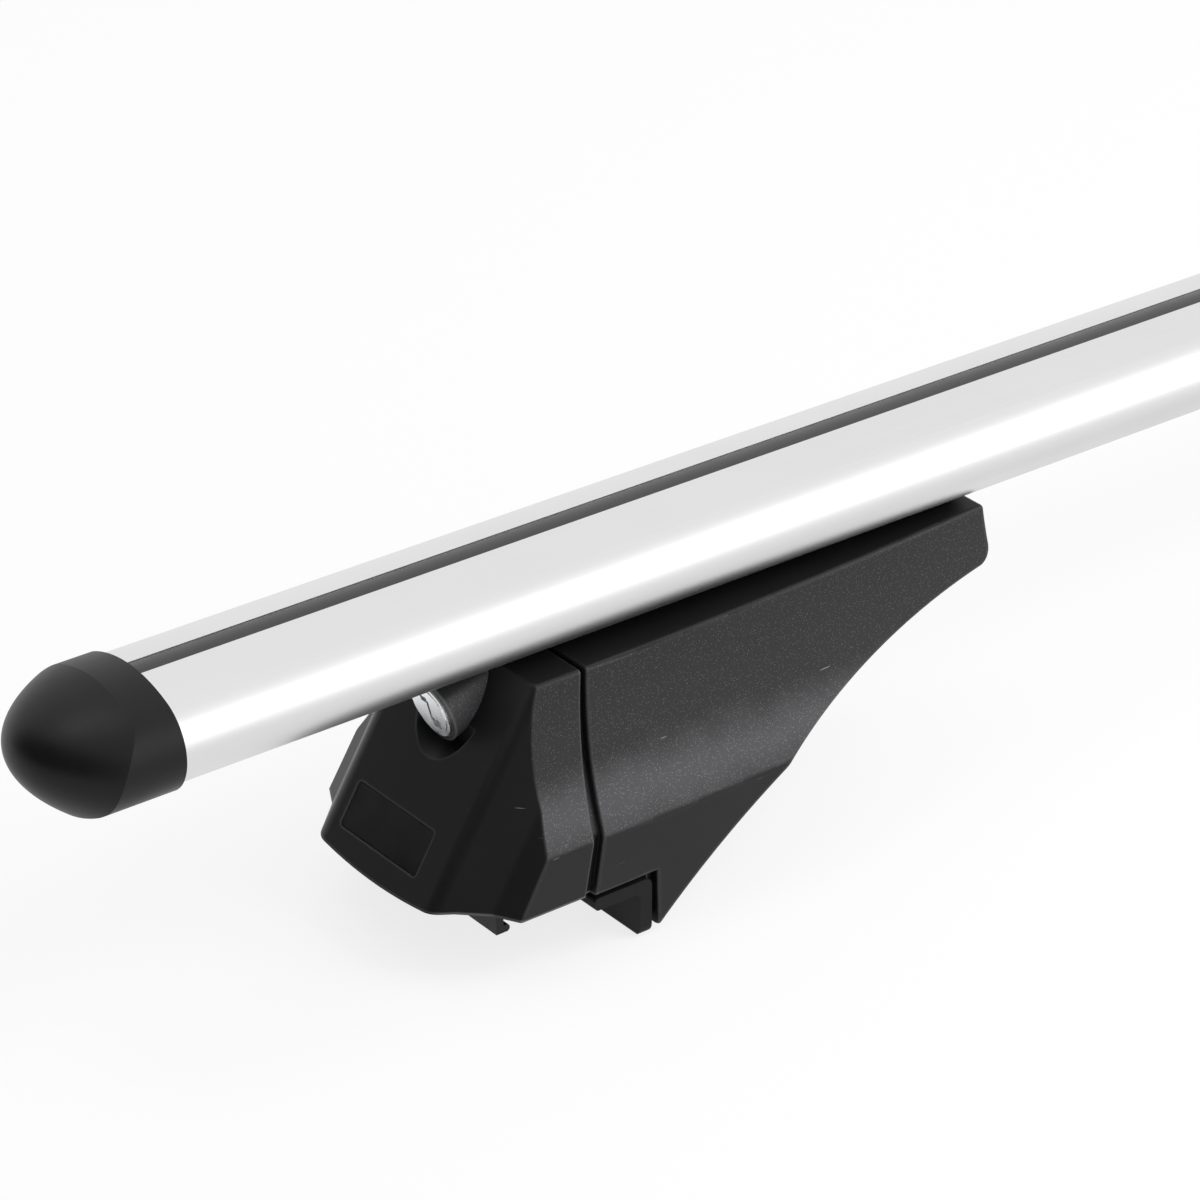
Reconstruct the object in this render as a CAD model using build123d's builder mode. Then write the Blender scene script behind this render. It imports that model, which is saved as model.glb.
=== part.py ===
from build123d import *
import os
from math import asin, cos, degrees, hypot, radians, sin, tan

# Roof rack crossbar for flush rails: an oval aluminium bar on two clamp feet.
# Millimetres. X runs along the bar, Y along the vehicle and Z up. The origin lies under the
# middle of the bar, on the level that the feet stand on. Each foot is modelled at the bar's
# left (negative X) end and turned half round for the right end. A foot's own X positions are
# counted from its parting line, where cover and housing meet below the bar, inboard positive.

# Bar
BAR_LENGTH = 1200.0
BAR_WIDTH = 60.0
BAR_HEIGHT = 38.0
BAR_SIDE_RADIUS = 16.0
BAR_WALL = 2.0
SLOT_WIDTH = 8.6
SLOT_LIP = 2.4
SLOT_CHAMBER_WIDTH = 16.0
SLOT_CHAMBER_DEPTH = 7.0
CHANNEL_WIDTH = 8.6
CHANNEL_LIP = 2.5
CHANNEL_SIDE_GAP = 0.6
CHANNEL_HEAD_GAP = 0.3
CHANNEL_ROOF_GAP = 0.7

# Slot strip
STRIP_SIDE_CLEARANCE = 0.1
STRIP_FOOT_OVERLAP = 2.2
STRIP_FOOT_DEPTH = 2.5
STRIP_SINK = 0.1
STRIP_CROWN = 0.5

# End caps
CAP_OVERLAP = 18.0
CAP_WALL = 1.7
CAP_CLEARANCE = 0.1
CAP_LENGTH = 44.0
CAP_NOSE_DEPTH = 105.0
CAP_NOSE_HALF_WIDTH = 53.0
CAP_NOSE_HALF_HEIGHT = 36.0
CAP_NOSE_TILT = 9.2
CAP_NOSE_RISE = 1.3
CAP_SHOULDER = 2.4

# Foot as a whole
FOOT_INSET = 173.0
FOOT_HEIGHT = 97.3
BAR_SEAT_GAP = 0.3
TOP_HALF_WIDTH = 33.0
BELLY_HALF_WIDTH = 55.4
BELLY_HEIGHT = 45.5
SOLE_HALF_WIDTH = 57.0
FLANK_HOLLOW = 2.8
TOP_EDGE_RADIUS = 1.6
BELLY_RADIUS = 5.0

# Foot housing
HOUSING_WALL = 3.0
HOUSING_GAP = 2.0
HOUSING_RAKE = 10.6
HOUSING_LENGTH = 187.5
HOUSING_TAIL_HEIGHT = 21.0
HOUSING_TAIL_RADIUS = 7.0
HOUSING_TAIL_EDGE = 2.5
HOUSING_EDGE_RADIUS = 1.0
HOUSING_SWEEP_HOLLOW = 14.3
HOUSING_PLAN_RADIUS = 2100.0
TOE_WIDTH = 2.2
TOE_LIFT = 3.3
NOTCH_DEPTH = 14.9
NOTCH_HEIGHT = 24.6
SPIGOT_LENGTH = 8.0
SPIGOT_WALL = 2.0
SPIGOT_CLEARANCE = 0.4
SPIGOT_ROOT = 5.0

# End cover
COVER_WALL = 3.0
COVER_RAKE = 12.4
COVER_HEAD_GAP = 3.6
COVER_TILT = 31.4
COVER_BOTTOM = 25.7
COVER_BOTTOM_CROWN = 2.6
COVER_CROWN_HALF_WIDTH = 38.0
FACE_HALF_WIDTH = 32.5
FACET_ANGLE = 46.4
FACET_HALF_WIDTH = 46.7
CHEEK_ANGLE = 29.0
FACE_EDGE_RADIUS = 8.0
CHEEK_EDGE_RADIUS = 6.0
COVER_EDGE_RADIUS = 1.2
COVER_REAR_RADIUS = 0.8

# Name plate in its recess on the cover's face
PLATE_LENGTH = 43.5
PLATE_WIDTH = 16.5
PLATE_THICKNESS = 1.0
PLATE_CORNER = 1.2
PLATE_RISE = 13.0
PLATE_SHIFT = 3.5
RECESS_CLEARANCE = 0.25
RECESS_LIP = 0.3

# Lock
LOCK_DROP = 16.7
LOCK_STANDOFF = 9.2
LOCK_TILT = 16.0
COLLAR_RADIUS = 10.4
COLLAR_LENGTH = 6.0
BARREL_RADIUS = 7.0
BARREL_LENGTH = 22.0
LOCK_CLEARANCE = 0.2
BOSS_WALL = 2.0
BOSS_LENGTH = 20.0
BOSS_SETBACK = 0.8
POCKET_MARGIN = 3.9
POCKET_DEPTH = 6.0
POCKET_WALL = 2.4
PLUG_FACE_RADIUS = 8.8
PLUG_FACE_DEPTH = 3.0
PLUG_FACE_GAP = 0.1
PLUG_RADIUS = 5.0
PLUG_CLEARANCE = 0.06
PLUG_PROUD = 0.3
PLUG_TAIL_RADIUS = 3.0
PLUG_TAIL = 0.8
KEYWAY_HALF_HEIGHT = 4.2
KEYWAY_WIDTH = 1.2
KEYWAY_DEPTH = 9.0
KEYWAY_FLAG_LENGTH = 3.6
KEYWAY_FLAG_HEIGHT = 2.4
KEYWAY_FLAG_DEPTH = 2.4
KEYWAY_FOOT_LENGTH = 4.6
KEYWAY_FOOT_HEIGHT = 3.6
CAM_LENGTH = 12.0
CAM_WIDTH = 9.0
CAM_THICKNESS = 2.0
CAM_GAP = 0.3

# Jaw pad
PAD_END_INSET = 1.5
PAD_BACK_GAP = 2.2
PAD_TOP_GAP = 1.8
PAD_LEG_THICKNESS = 5.0
PAD_LIMB_THICKNESS = 4.8
PAD_LIMB_REACH = 24.3
PAD_CORNER_RADIUS = 3.0
PAD_END_RADIUS = 1.6
PAD_HEEL_RADIUS = 4.5
SEAT_END_INSET = 3.5
SEAT_FRONT_INSET = 2.0
SEAT_FOOT_INSET = 5.6

# Rail claw
JAW_OPENING = 41.1
CLAW_PLATE = 3.0
CLAW_LIFT = 7.0
CLAW_HALF_WIDTH = 33.0
CLAW_NECK_HALF_WIDTH = 20.0
CLAW_SHOULDER = 22.0
CLAW_NECK_DROP = 12.0
CLAW_LIP_REACH = 2.6
CLAW_LIP_HEIGHT = 2.8
CLAW_LIP_ROUND = 1.3
CLAW_BEND_RADIUS = 4.0
TONGUE_SHARE = 0.6
TONGUE_OVERHANG = 8.0
TONGUE_HALF_WIDTH = 14.0
TONGUE_CLEARANCE = 0.5

# Bracket inside the housing
BRACKET_PLATE = 4.0
BRACKET_WEB_GAP = 0.1
BRACKET_LENGTH = 86.0
BRACKET_HALF_WIDTH = 24.0
BRACKET_SHELF = 24.0

# M8 fasteners
BOLT_DIAMETER = 8.0
BOLT_HEAD_HEIGHT = 5.3
CLAMP_BOLT_RISE = 7.1
CLAMP_BOLT_TAIL = 3.5
HEAD_GAP = 0.1
HOLE_CLEARANCE = 0.4
THREAD_CLEARANCE = 0.05
HEX_WIDTH = 13.0
NUT_HEIGHT = 6.5
WASHER_DIAMETER = 16.0
WASHER_THICKNESS = 1.6
WASHER_CLEARANCE = 0.2
SQUARE_HEAD = 13.0
SQUARE_HEAD_HEIGHT = 5.0
BAR_BOLT_INSET = 27.0
BAR_BOLT_SPACING = 45.0
BAR_BOLT_TAIL = 3.0

# Bar places
BAR_BOTTOM = FOOT_HEIGHT + BAR_SEAT_GAP
BAR_CENTRE = BAR_BOTTOM + BAR_HEIGHT / 2
BAR_END = -BAR_LENGTH / 2
STRIP_HALF_WIDTH = SLOT_WIDTH / 2 - STRIP_SIDE_CLEARANCE
CROWN_RADIUS = (STRIP_HALF_WIDTH**2 + STRIP_CROWN**2) / (2 * STRIP_CROWN)
CAP_RIM = BAR_END + CAP_OVERLAP
CHANNEL_CHAMBER_WIDTH = SQUARE_HEAD + 2 * CHANNEL_SIDE_GAP
CHANNEL_CHAMBER_DEPTH = CHANNEL_HEAD_GAP + SQUARE_HEAD_HEIGHT + CHANNEL_ROOF_GAP

# Foot places
FOOT_X = BAR_END + FOOT_INSET
CEILING = FOOT_HEIGHT - HOUSING_WALL
FLOOR = NOTCH_HEIGHT + HOUSING_WALL
WEB = NOTCH_DEPTH + HOUSING_WALL + BRACKET_WEB_GAP
WEB_BACK = WEB + BRACKET_PLATE
PAD_OUTER = NOTCH_DEPTH - PAD_BACK_GAP
PAD_TOP = NOTCH_HEIGHT - PAD_TOP_GAP
PAD_HALF_LENGTH = SOLE_HALF_WIDTH - PAD_END_INSET
CLAW_BACK = PAD_OUTER - PAD_LEG_THICKNESS - JAW_OPENING
CLAW_FACE = CLAW_BACK - CLAW_PLATE
BOLT_HEIGHT = FLOOR + BRACKET_PLATE + CLAMP_BOLT_RISE
BOLT_SEAT = CLAW_FACE - WASHER_THICKNESS - HEAD_GAP
HEAD_END = BOLT_SEAT - BOLT_HEAD_HEIGHT
HEAD_TOP = BOLT_HEIGHT + HEX_WIDTH / 2 / cos(radians(30))
COVER_LEAN = radians(COVER_TILT)
COVER_SLOPE = tan(COVER_LEAN)
COVER_SKIN = COVER_WALL / cos(COVER_LEAN)
COVER_TOP_DEPTH = COVER_HEAD_GAP + COVER_SKIN - HEAD_END - (FOOT_HEIGHT - HEAD_TOP) * COVER_SLOPE
PLATE_HEIGHT = COVER_BOTTOM + PLATE_RISE
RECESS_DEPTH = PLATE_THICKNESS + RECESS_LIP
LOCK_LEAN = radians(LOCK_TILT)
LOCK_HEIGHT = FOOT_HEIGHT - LOCK_DROP
LOCK_U = -COVER_TOP_DEPTH - LOCK_DROP * COVER_SLOPE - LOCK_STANDOFF
BOSS_RADIUS = COLLAR_RADIUS + LOCK_CLEARANCE + BOSS_WALL
POCKET_RADIUS = BOSS_RADIUS + POCKET_MARGIN
CUP_RADIUS = POCKET_RADIUS + POCKET_WALL
CUP_DEPTH = POCKET_DEPTH + POCKET_WALL
CUP_UNDER = LOCK_HEIGHT + CUP_DEPTH * sin(LOCK_LEAN) - CUP_RADIUS * cos(LOCK_LEAN)
PLUG_SHOULDER = BARREL_LENGTH + CAM_GAP
CAM_REAR = PLUG_SHOULDER + CAM_THICKNESS
TONGUE_TOP = BOLT_HEIGHT + TONGUE_SHARE * (CUP_UNDER - BOLT_HEIGHT)
FLANGE_UNDER = CEILING - BRACKET_PLATE
NUT_UNDER = FLANGE_UNDER - WASHER_THICKNESS - NUT_HEIGHT
HEAD_UNDER = BAR_BOTTOM + CHANNEL_LIP + CHANNEL_HEAD_GAP
BAR_BOLT_PLACES = [
    (WEB + BAR_BOLT_INSET, 0),
    (WEB + BAR_BOLT_INSET + BAR_BOLT_SPACING, 0),
]

# Generous reach for blocks that are trimmed afterwards
TRIM = 120.0

SECTION = Plane(origin=(FOOT_X, 0, 0), x_dir=(0, 1, 0), z_dir=(1, 0, 0))
SIDE = Plane(origin=(FOOT_X, 0, 0), x_dir=(1, 0, 0), z_dir=(0, -1, 0))
PLAN = Plane(origin=(FOOT_X, 0, 0), x_dir=(1, 0, 0), z_dir=(0, 0, 1))

os.makedirs("parts", exist_ok=True)


def save(piece, name):
    """Label a finished piece and write it as its own file."""
    piece.label = name
    export_step(piece, f"parts/{name}.step")


def save_pair(piece, name):
    """Write a piece of the left foot, and the same piece turned half round for the right foot."""
    save(piece, f"{name}_left")
    with BuildPart() as turned:
        add(piece.rotate(Axis.Z, 180))
    save(turned.part, f"{name}_right")


def oval(grow):
    """Draw the bar's outline about its centre, grown by an offset, as four tangent arcs."""
    half_width = BAR_WIDTH / 2 + grow
    half_height = BAR_HEIGHT / 2 + grow
    side = BAR_SIDE_RADIUS + grow
    side_centre = half_width - side
    crown = (side_centre**2 + half_height**2 - side**2) / (2 * (half_height - side))
    drop = crown - half_height
    reach = hypot(side_centre, drop)
    join_y = side_centre + side * side_centre / reach
    join_z = side * drop / reach
    with BuildSketch(mode=Mode.PRIVATE) as outline:
        with BuildLine():
            ThreePointArc((-join_y, join_z), (0, half_height), (join_y, join_z))
            ThreePointArc((join_y, join_z), (half_width, 0), (join_y, -join_z))
            ThreePointArc((join_y, -join_z), (0, -half_height), (-join_y, -join_z))
            ThreePointArc((-join_y, -join_z), (-half_width, 0), (-join_y, join_z))
        make_face()
    return outline.sketch


def bar_plane(x):
    """Give the section plane of the bar at a place along it, facing inboard."""
    return Plane(origin=(x, 0, BAR_CENTRE), x_dir=(0, 1, 0), z_dir=(1, 0, 0))


def lock_plane(depth):
    """Give the plane across the lock's axis, a depth behind its face, facing outwards."""
    x = FOOT_X + LOCK_U + depth * cos(LOCK_LEAN)
    z = LOCK_HEIGHT + depth * sin(LOCK_LEAN)
    outwards = (-cos(LOCK_LEAN), 0, -sin(LOCK_LEAN))
    return Plane(origin=(x, 0, z), x_dir=(0, 1, 0), z_dir=outwards)


def face_plane(height, depth):
    """Give the plane of the cover's sloping face at a height, sunk by a depth, facing outwards."""
    x = FOOT_X - COVER_TOP_DEPTH - (FOOT_HEIGHT - height) * COVER_SLOPE + depth * cos(COVER_LEAN)
    z = height - depth * sin(COVER_LEAN)
    return Plane(origin=(x, 0, z), x_dir=(0, 1, 0), z_dir=(-cos(COVER_LEAN), 0, sin(COVER_LEAN)))


def flank_points(inset):
    """Give the half-width points of a foot's section: top edge, belly crease and sole."""
    top = (TOP_HALF_WIDTH - inset, FOOT_HEIGHT - inset)
    belly = (BELLY_HALF_WIDTH - inset, BELLY_HEIGHT)
    sole = (SOLE_HALF_WIDTH - inset, 0)
    return top, belly, sole


def flipped(point):
    """Give a section point on the other side of the foot's middle plane."""
    return (-point[0], point[1])


def cover_block(inset):
    """Build the cover's outer form, or the form inside it where it is inset by a wall."""
    top, belly, sole = flank_points(inset)
    hem = belly[0] + (sole[0] - belly[0]) * (BELLY_HEIGHT - COVER_BOTTOM) / BELLY_HEIGHT
    low = COVER_BOTTOM - 2 * inset
    with BuildPart() as block:
        with BuildSketch(SECTION.offset(-TRIM)) as section:
            with BuildLine():
                Line(flipped(top), top)
                SagittaArc(top, belly, -FLANK_HOLLOW)
                Polyline(belly, (hem, low), (COVER_CROWN_HALF_WIDTH, low))
                ThreePointArc(
                    (COVER_CROWN_HALF_WIDTH, low),
                    (0, low - COVER_BOTTOM_CROWN),
                    (-COVER_CROWN_HALF_WIDTH, low),
                )
                Polyline((-COVER_CROWN_HALF_WIDTH, low), (-hem, low), flipped(belly))
                SagittaArc(flipped(belly), flipped(top), -FLANK_HOLLOW)
            make_face()
            fillet(section.vertices().sort_by(Axis.Y)[-4:-2], BELLY_RADIUS)
            fillet(section.vertices().sort_by(Axis.Y)[-2:], TOP_EDGE_RADIUS)
        extrude(amount=2 * TRIM)

        base = low - COVER_BOTTOM_CROWN
        face_x = -COVER_TOP_DEPTH - (FOOT_HEIGHT - base) * COVER_SLOPE + inset / cos(COVER_LEAN)
        facet_x = face_x + (FACET_HALF_WIDTH - FACE_HALF_WIDTH) * tan(radians(FACET_ANGLE))
        cheek_x = facet_x + (TRIM - FACET_HALF_WIDTH) * tan(radians(CHEEK_ANGLE))
        with BuildSketch(PLAN.offset(base)) as plan:
            with BuildLine():
                Polyline(
                    (face_x, -FACE_HALF_WIDTH),
                    (facet_x, -FACET_HALF_WIDTH),
                    (cheek_x, -TRIM),
                    (TRIM, -TRIM),
                    (TRIM, TRIM),
                    (cheek_x, TRIM),
                    (facet_x, FACET_HALF_WIDTH),
                    (face_x, FACE_HALF_WIDTH),
                    close=True,
                )
            make_face()
            fillet(plan.vertices().sort_by(Axis.X)[2:4], CHEEK_EDGE_RADIUS)
            fillet(plan.vertices().sort_by(Axis.X)[:2], FACE_EDGE_RADIUS)
        extrude(amount=TRIM, dir=(COVER_SLOPE, 0, 1), mode=Mode.INTERSECT)
    return block.part


def housing_block(inset):
    """Build the housing's flanks and top, bowed in plan towards the tail, inset by a wall."""
    top, belly, sole = flank_points(inset)
    start = 2 * SPIGOT_LENGTH
    turn = degrees(asin((HOUSING_LENGTH + 2 * start) / HOUSING_PLAN_RADIUS))
    with BuildPart() as block:
        with BuildSketch(SECTION.offset(-start)) as section:
            with BuildLine():
                Line((1, top[1]), flipped(top))
                SagittaArc(flipped(top), flipped(belly), FLANK_HOLLOW)
                Polyline(flipped(belly), flipped(sole), (1, 0), (1, top[1]))
            make_face()
            fillet(section.vertices().sort_by(Axis.Y)[-2:].sort_by(Axis.X)[0], TOP_EDGE_RADIUS)
            fillet(section.vertices().sort_by(Axis.Y)[2], BELLY_RADIUS)
        centre = (FOOT_X - start, HOUSING_PLAN_RADIUS, 0)
        revolve(axis=Axis(centre, (0, 0, 1)), revolution_arc=turn)
        mirror(about=Plane.XZ)
    return block.part


def is_front(face):
    """Tell whether a face of the cover's outer form is on its slanted front."""
    outwards = face.normal_at()
    return outwards.X < 0 and abs(outwards.dot(Vector(COVER_SLOPE, 0, 1))) < 0.001


def is_across(face):
    """Tell whether a face of the housing's outer form runs across it from flank to flank."""
    return abs(face.center().Y) < TOP_EDGE_RADIUS


def sweep_ends(inset):
    """Give the two ends of the housing's underside arc, moved into the housing by a wall."""
    toe = Vector(NOTCH_DEPTH + TOE_WIDTH, TOE_LIFT)
    tail = Vector(HOUSING_LENGTH, FOOT_HEIGHT - HOUSING_TAIL_HEIGHT)
    inwards = (tail - toe).normalized().rotate(Axis.Z, 90)
    return toe + inwards * inset, tail + inwards * inset


with BuildPart() as bar:
    with BuildSketch(bar_plane(BAR_END)):
        add(oval(0))
        with BuildSketch(mode=Mode.PRIVATE) as hollow:
            add(oval(-BAR_WALL))
            with Locations((0, BAR_HEIGHT / 2 - SLOT_LIP - SLOT_CHAMBER_DEPTH - BAR_WALL)):
                Rectangle(
                    SLOT_CHAMBER_WIDTH + 2 * BAR_WALL,
                    BAR_HEIGHT,
                    align=(Align.CENTER, Align.MIN),
                    mode=Mode.SUBTRACT,
                )
            with Locations((0, CHANNEL_LIP + CHANNEL_CHAMBER_DEPTH + BAR_WALL - BAR_HEIGHT / 2)):
                Rectangle(
                    CHANNEL_CHAMBER_WIDTH + 2 * BAR_WALL,
                    BAR_HEIGHT,
                    align=(Align.CENTER, Align.MAX),
                    mode=Mode.SUBTRACT,
                )
        add(hollow.sketch, mode=Mode.SUBTRACT)
        with Locations((0, BAR_HEIGHT / 2 - SLOT_LIP - SLOT_CHAMBER_DEPTH)):
            Rectangle(
                SLOT_CHAMBER_WIDTH,
                SLOT_CHAMBER_DEPTH,
                align=(Align.CENTER, Align.MIN),
                mode=Mode.SUBTRACT,
            )
            Rectangle(SLOT_WIDTH, BAR_HEIGHT, align=(Align.CENTER, Align.MIN), mode=Mode.SUBTRACT)
        with Locations((0, CHANNEL_LIP + CHANNEL_CHAMBER_DEPTH - BAR_HEIGHT / 2)):
            Rectangle(
                CHANNEL_CHAMBER_WIDTH,
                CHANNEL_CHAMBER_DEPTH,
                align=(Align.CENTER, Align.MAX),
                mode=Mode.SUBTRACT,
            )
            Rectangle(CHANNEL_WIDTH, BAR_HEIGHT, align=(Align.CENTER, Align.MAX), mode=Mode.SUBTRACT)
    extrude(amount=BAR_LENGTH)
save(bar.part, "bar_extrusion")

with BuildPart() as strip:
    with BuildSketch(bar_plane(BAR_END)):
        with Locations((0, BAR_HEIGHT / 2 - SLOT_LIP)):
            Rectangle(
                SLOT_WIDTH + 2 * STRIP_FOOT_OVERLAP,
                STRIP_FOOT_DEPTH,
                align=(Align.CENTER, Align.MAX),
            )
            Rectangle(
                2 * STRIP_HALF_WIDTH,
                SLOT_LIP - STRIP_SINK,
                align=(Align.CENTER, Align.MIN),
            )
        with Locations((0, BAR_HEIGHT / 2 - STRIP_SINK - CROWN_RADIUS)):
            Circle(CROWN_RADIUS, mode=Mode.INTERSECT)
    extrude(amount=BAR_LENGTH)
save(strip.part, "slot_strip")


def nose(shrink):
    """Build the tilted ellipsoid that rounds off an end cap, drawn in by a wall."""
    lean = radians(CAP_NOSE_TILT)
    centre_x = CAP_RIM - CAP_LENGTH + CAP_NOSE_DEPTH * cos(lean)
    centre_z = BAR_CENTRE + CAP_NOSE_RISE - CAP_NOSE_DEPTH * sin(lean)
    with BuildPart() as ball:
        Sphere(radius=1)
        scale(
            by=(
                CAP_NOSE_DEPTH - shrink,
                CAP_NOSE_HALF_WIDTH - shrink,
                CAP_NOSE_HALF_HEIGHT - shrink,
            )
        )
    return ball.part.moved(Location((centre_x, 0, centre_z), (0, CAP_NOSE_TILT, 0)))


with BuildPart() as cap_hollow:
    with BuildSketch(bar_plane(BAR_END - CAP_LENGTH)):
        add(oval(-CAP_SHOULDER))
    extrude(amount=CAP_LENGTH + CAP_SHOULDER)
    add(nose(CAP_SHOULDER), mode=Mode.INTERSECT)

with BuildPart() as cap:
    with BuildSketch(bar_plane(CAP_RIM - 2 * CAP_LENGTH)):
        add(oval(CAP_WALL))
    extrude(amount=2 * CAP_LENGTH)
    add(nose(0), mode=Mode.INTERSECT)
    add(cap_hollow.part, mode=Mode.SUBTRACT)
    with BuildSketch(bar_plane(BAR_END)):
        add(oval(CAP_CLEARANCE))
    extrude(amount=CAP_OVERLAP, mode=Mode.SUBTRACT)
save_pair(cap.part, "end_cap")

housing_slope = tan(radians(HOUSING_RAKE))
housing_low = HOUSING_GAP - (FOOT_HEIGHT - NOTCH_HEIGHT) * housing_slope
sweep_toe, sweep_tail = sweep_ends(0)
inner_toe, inner_tail = sweep_ends(HOUSING_WALL)
jaw_wall = NOTCH_DEPTH + HOUSING_WALL

with BuildPart() as cavity:
    add(housing_block(HOUSING_WALL))
    with BuildSketch(SIDE):
        with BuildLine():
            SagittaArc(inner_toe, inner_tail, HOUSING_SWEEP_HOLLOW)
            Polyline(inner_tail, (inner_tail.X, CEILING), (inner_toe.X, CEILING), inner_toe)
        make_face()
        with Locations((HOUSING_LENGTH - HOUSING_WALL, CEILING)):
            Rectangle(TRIM, 2 * TRIM, align=(Align.MIN, Align.CENTER), mode=Mode.SUBTRACT)
        with Locations((jaw_wall, FLOOR)):
            Rectangle(TRIM, TRIM, align=(Align.MAX, Align.MAX), mode=Mode.SUBTRACT)
            Rectangle(TRIM, CEILING - FLOOR, align=(Align.MAX, Align.MIN))
    extrude(amount=TRIM, both=True, mode=Mode.INTERSECT)

spigot_inset = HOUSING_WALL + SPIGOT_CLEARANCE
with BuildPart() as spigot:
    add(housing_block(spigot_inset))
    with BuildSketch(SIDE):
        with BuildLine():
            Polyline(
                (housing_low - SPIGOT_LENGTH, NOTCH_HEIGHT),
                (housing_low + SPIGOT_ROOT, NOTCH_HEIGHT),
                (HOUSING_GAP + SPIGOT_ROOT, FOOT_HEIGHT),
                (HOUSING_GAP - SPIGOT_LENGTH, FOOT_HEIGHT),
                close=True,
            )
        make_face()
    extrude(amount=TRIM, both=True, mode=Mode.INTERSECT)

with BuildPart() as spigot_root:
    add(housing_block(HOUSING_WALL / 2))
    with BuildSketch(SIDE):
        with BuildLine():
            Polyline(
                (housing_low + SPIGOT_CLEARANCE, NOTCH_HEIGHT),
                (housing_low + SPIGOT_ROOT, NOTCH_HEIGHT),
                (HOUSING_GAP + SPIGOT_ROOT, FOOT_HEIGHT),
                (HOUSING_GAP + SPIGOT_CLEARANCE, FOOT_HEIGHT),
                close=True,
            )
        make_face()
    extrude(amount=TRIM, both=True, mode=Mode.INTERSECT)
    add(spigot.part)
    add(housing_block(spigot_inset + SPIGOT_WALL), mode=Mode.SUBTRACT)

with BuildPart() as housing:
    add(housing_block(0))
    with BuildSketch(SIDE) as side:
        with BuildLine():
            Polyline(
                sweep_tail,
                (HOUSING_LENGTH, FOOT_HEIGHT),
                (HOUSING_GAP, FOOT_HEIGHT),
                (housing_low, NOTCH_HEIGHT),
                (NOTCH_DEPTH, NOTCH_HEIGHT),
                (NOTCH_DEPTH, TOE_LIFT),
                sweep_toe,
            )
            SagittaArc(sweep_toe, sweep_tail, HOUSING_SWEEP_HOLLOW)
        make_face()
        fillet(side.vertices().sort_by(Axis.X)[-2:].sort_by(Axis.Y)[0], HOUSING_TAIL_RADIUS)
    extrude(amount=TRIM, both=True, mode=Mode.INTERSECT)
    tail_edges = housing.faces().sort_by(Axis.X)[-1].edges()
    fillet(tail_edges.filter_by(GeomType.LINE, reverse=True), HOUSING_TAIL_EDGE)
    across = housing.faces().filter_by(is_across)
    flanks = housing.faces().filter_by(is_across, reverse=True)
    side_edges = (across.edges() & flanks.edges()).filter_by_position(Axis.Z, 0, CEILING)
    tail_start = FOOT_X + HOUSING_LENGTH - HOUSING_TAIL_RADIUS
    side_edges = side_edges.filter_by_position(Axis.X, FOOT_X - TRIM, tail_start)
    fillet(side_edges, HOUSING_EDGE_RADIUS)
    add(cavity.part, mode=Mode.SUBTRACT)
    add(spigot_root.part)
    with BuildSketch(SIDE):
        with Locations((NOTCH_DEPTH, NOTCH_HEIGHT)):
            Rectangle(
                PAD_BACK_GAP + PAD_LIMB_REACH - SEAT_FRONT_INSET,
                PAD_TOP_GAP,
                align=(Align.MAX, Align.MAX),
            )
            Rectangle(
                PAD_BACK_GAP,
                NOTCH_HEIGHT - SEAT_FOOT_INSET,
                align=(Align.MAX, Align.MAX),
            )
    extrude(amount=PAD_HALF_LENGTH - SEAT_END_INSET, both=True)
    with BuildSketch(PLAN.offset(CEILING - HOUSING_WALL)):
        with Locations(*BAR_BOLT_PLACES):
            Circle(BOLT_DIAMETER / 2 + HOLE_CLEARANCE)
    extrude(amount=3 * HOUSING_WALL, mode=Mode.SUBTRACT)
save_pair(housing.part, "foot_housing")

with BuildPart() as lock_boss:
    with BuildSketch(lock_plane(BOSS_LENGTH)):
        Circle(BOSS_RADIUS)
    extrude(amount=BOSS_LENGTH - BOSS_SETBACK)
    with BuildSketch(PLAN.offset(FOOT_HEIGHT)):
        Rectangle(2 * TRIM, 2 * TRIM)
    extrude(amount=-2 * TRIM, mode=Mode.INTERSECT)

with BuildPart() as cover_form:
    add(cover_block(0))
    front = cover_form.faces().filter_by(is_front)
    sides = cover_form.faces().filter_by(is_front, reverse=True)
    front_edges = front.edges() & sides.edges()
    above_hem = (Axis.Z, COVER_BOTTOM + COVER_EDGE_RADIUS, FOOT_HEIGHT + COVER_EDGE_RADIUS)
    fillet(front_edges.filter_by_position(*above_hem), COVER_EDGE_RADIUS)
    cover_rake = tan(radians(COVER_RAKE))
    with BuildSketch(SIDE):
        with BuildLine():
            Polyline(
                (-TRIM, -TRIM),
                (-(FOOT_HEIGHT + TRIM) * cover_rake, -TRIM),
                (TRIM * cover_rake, FOOT_HEIGHT + TRIM),
                (-TRIM, FOOT_HEIGHT + TRIM),
                close=True,
            )
        make_face()
    extrude(amount=TRIM, both=True, mode=Mode.INTERSECT)
    rear = cover_form.faces().sort_by(lambda face: face.normal_at().X)[-1]
    fillet(rear.edges().filter_by_position(*above_hem), COVER_REAR_RADIUS)

with BuildPart() as lock_cup:
    with BuildSketch(lock_plane(CUP_DEPTH)):
        Circle(CUP_RADIUS)
    extrude(amount=TRIM)
    add(cover_form.part, mode=Mode.INTERSECT)

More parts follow.
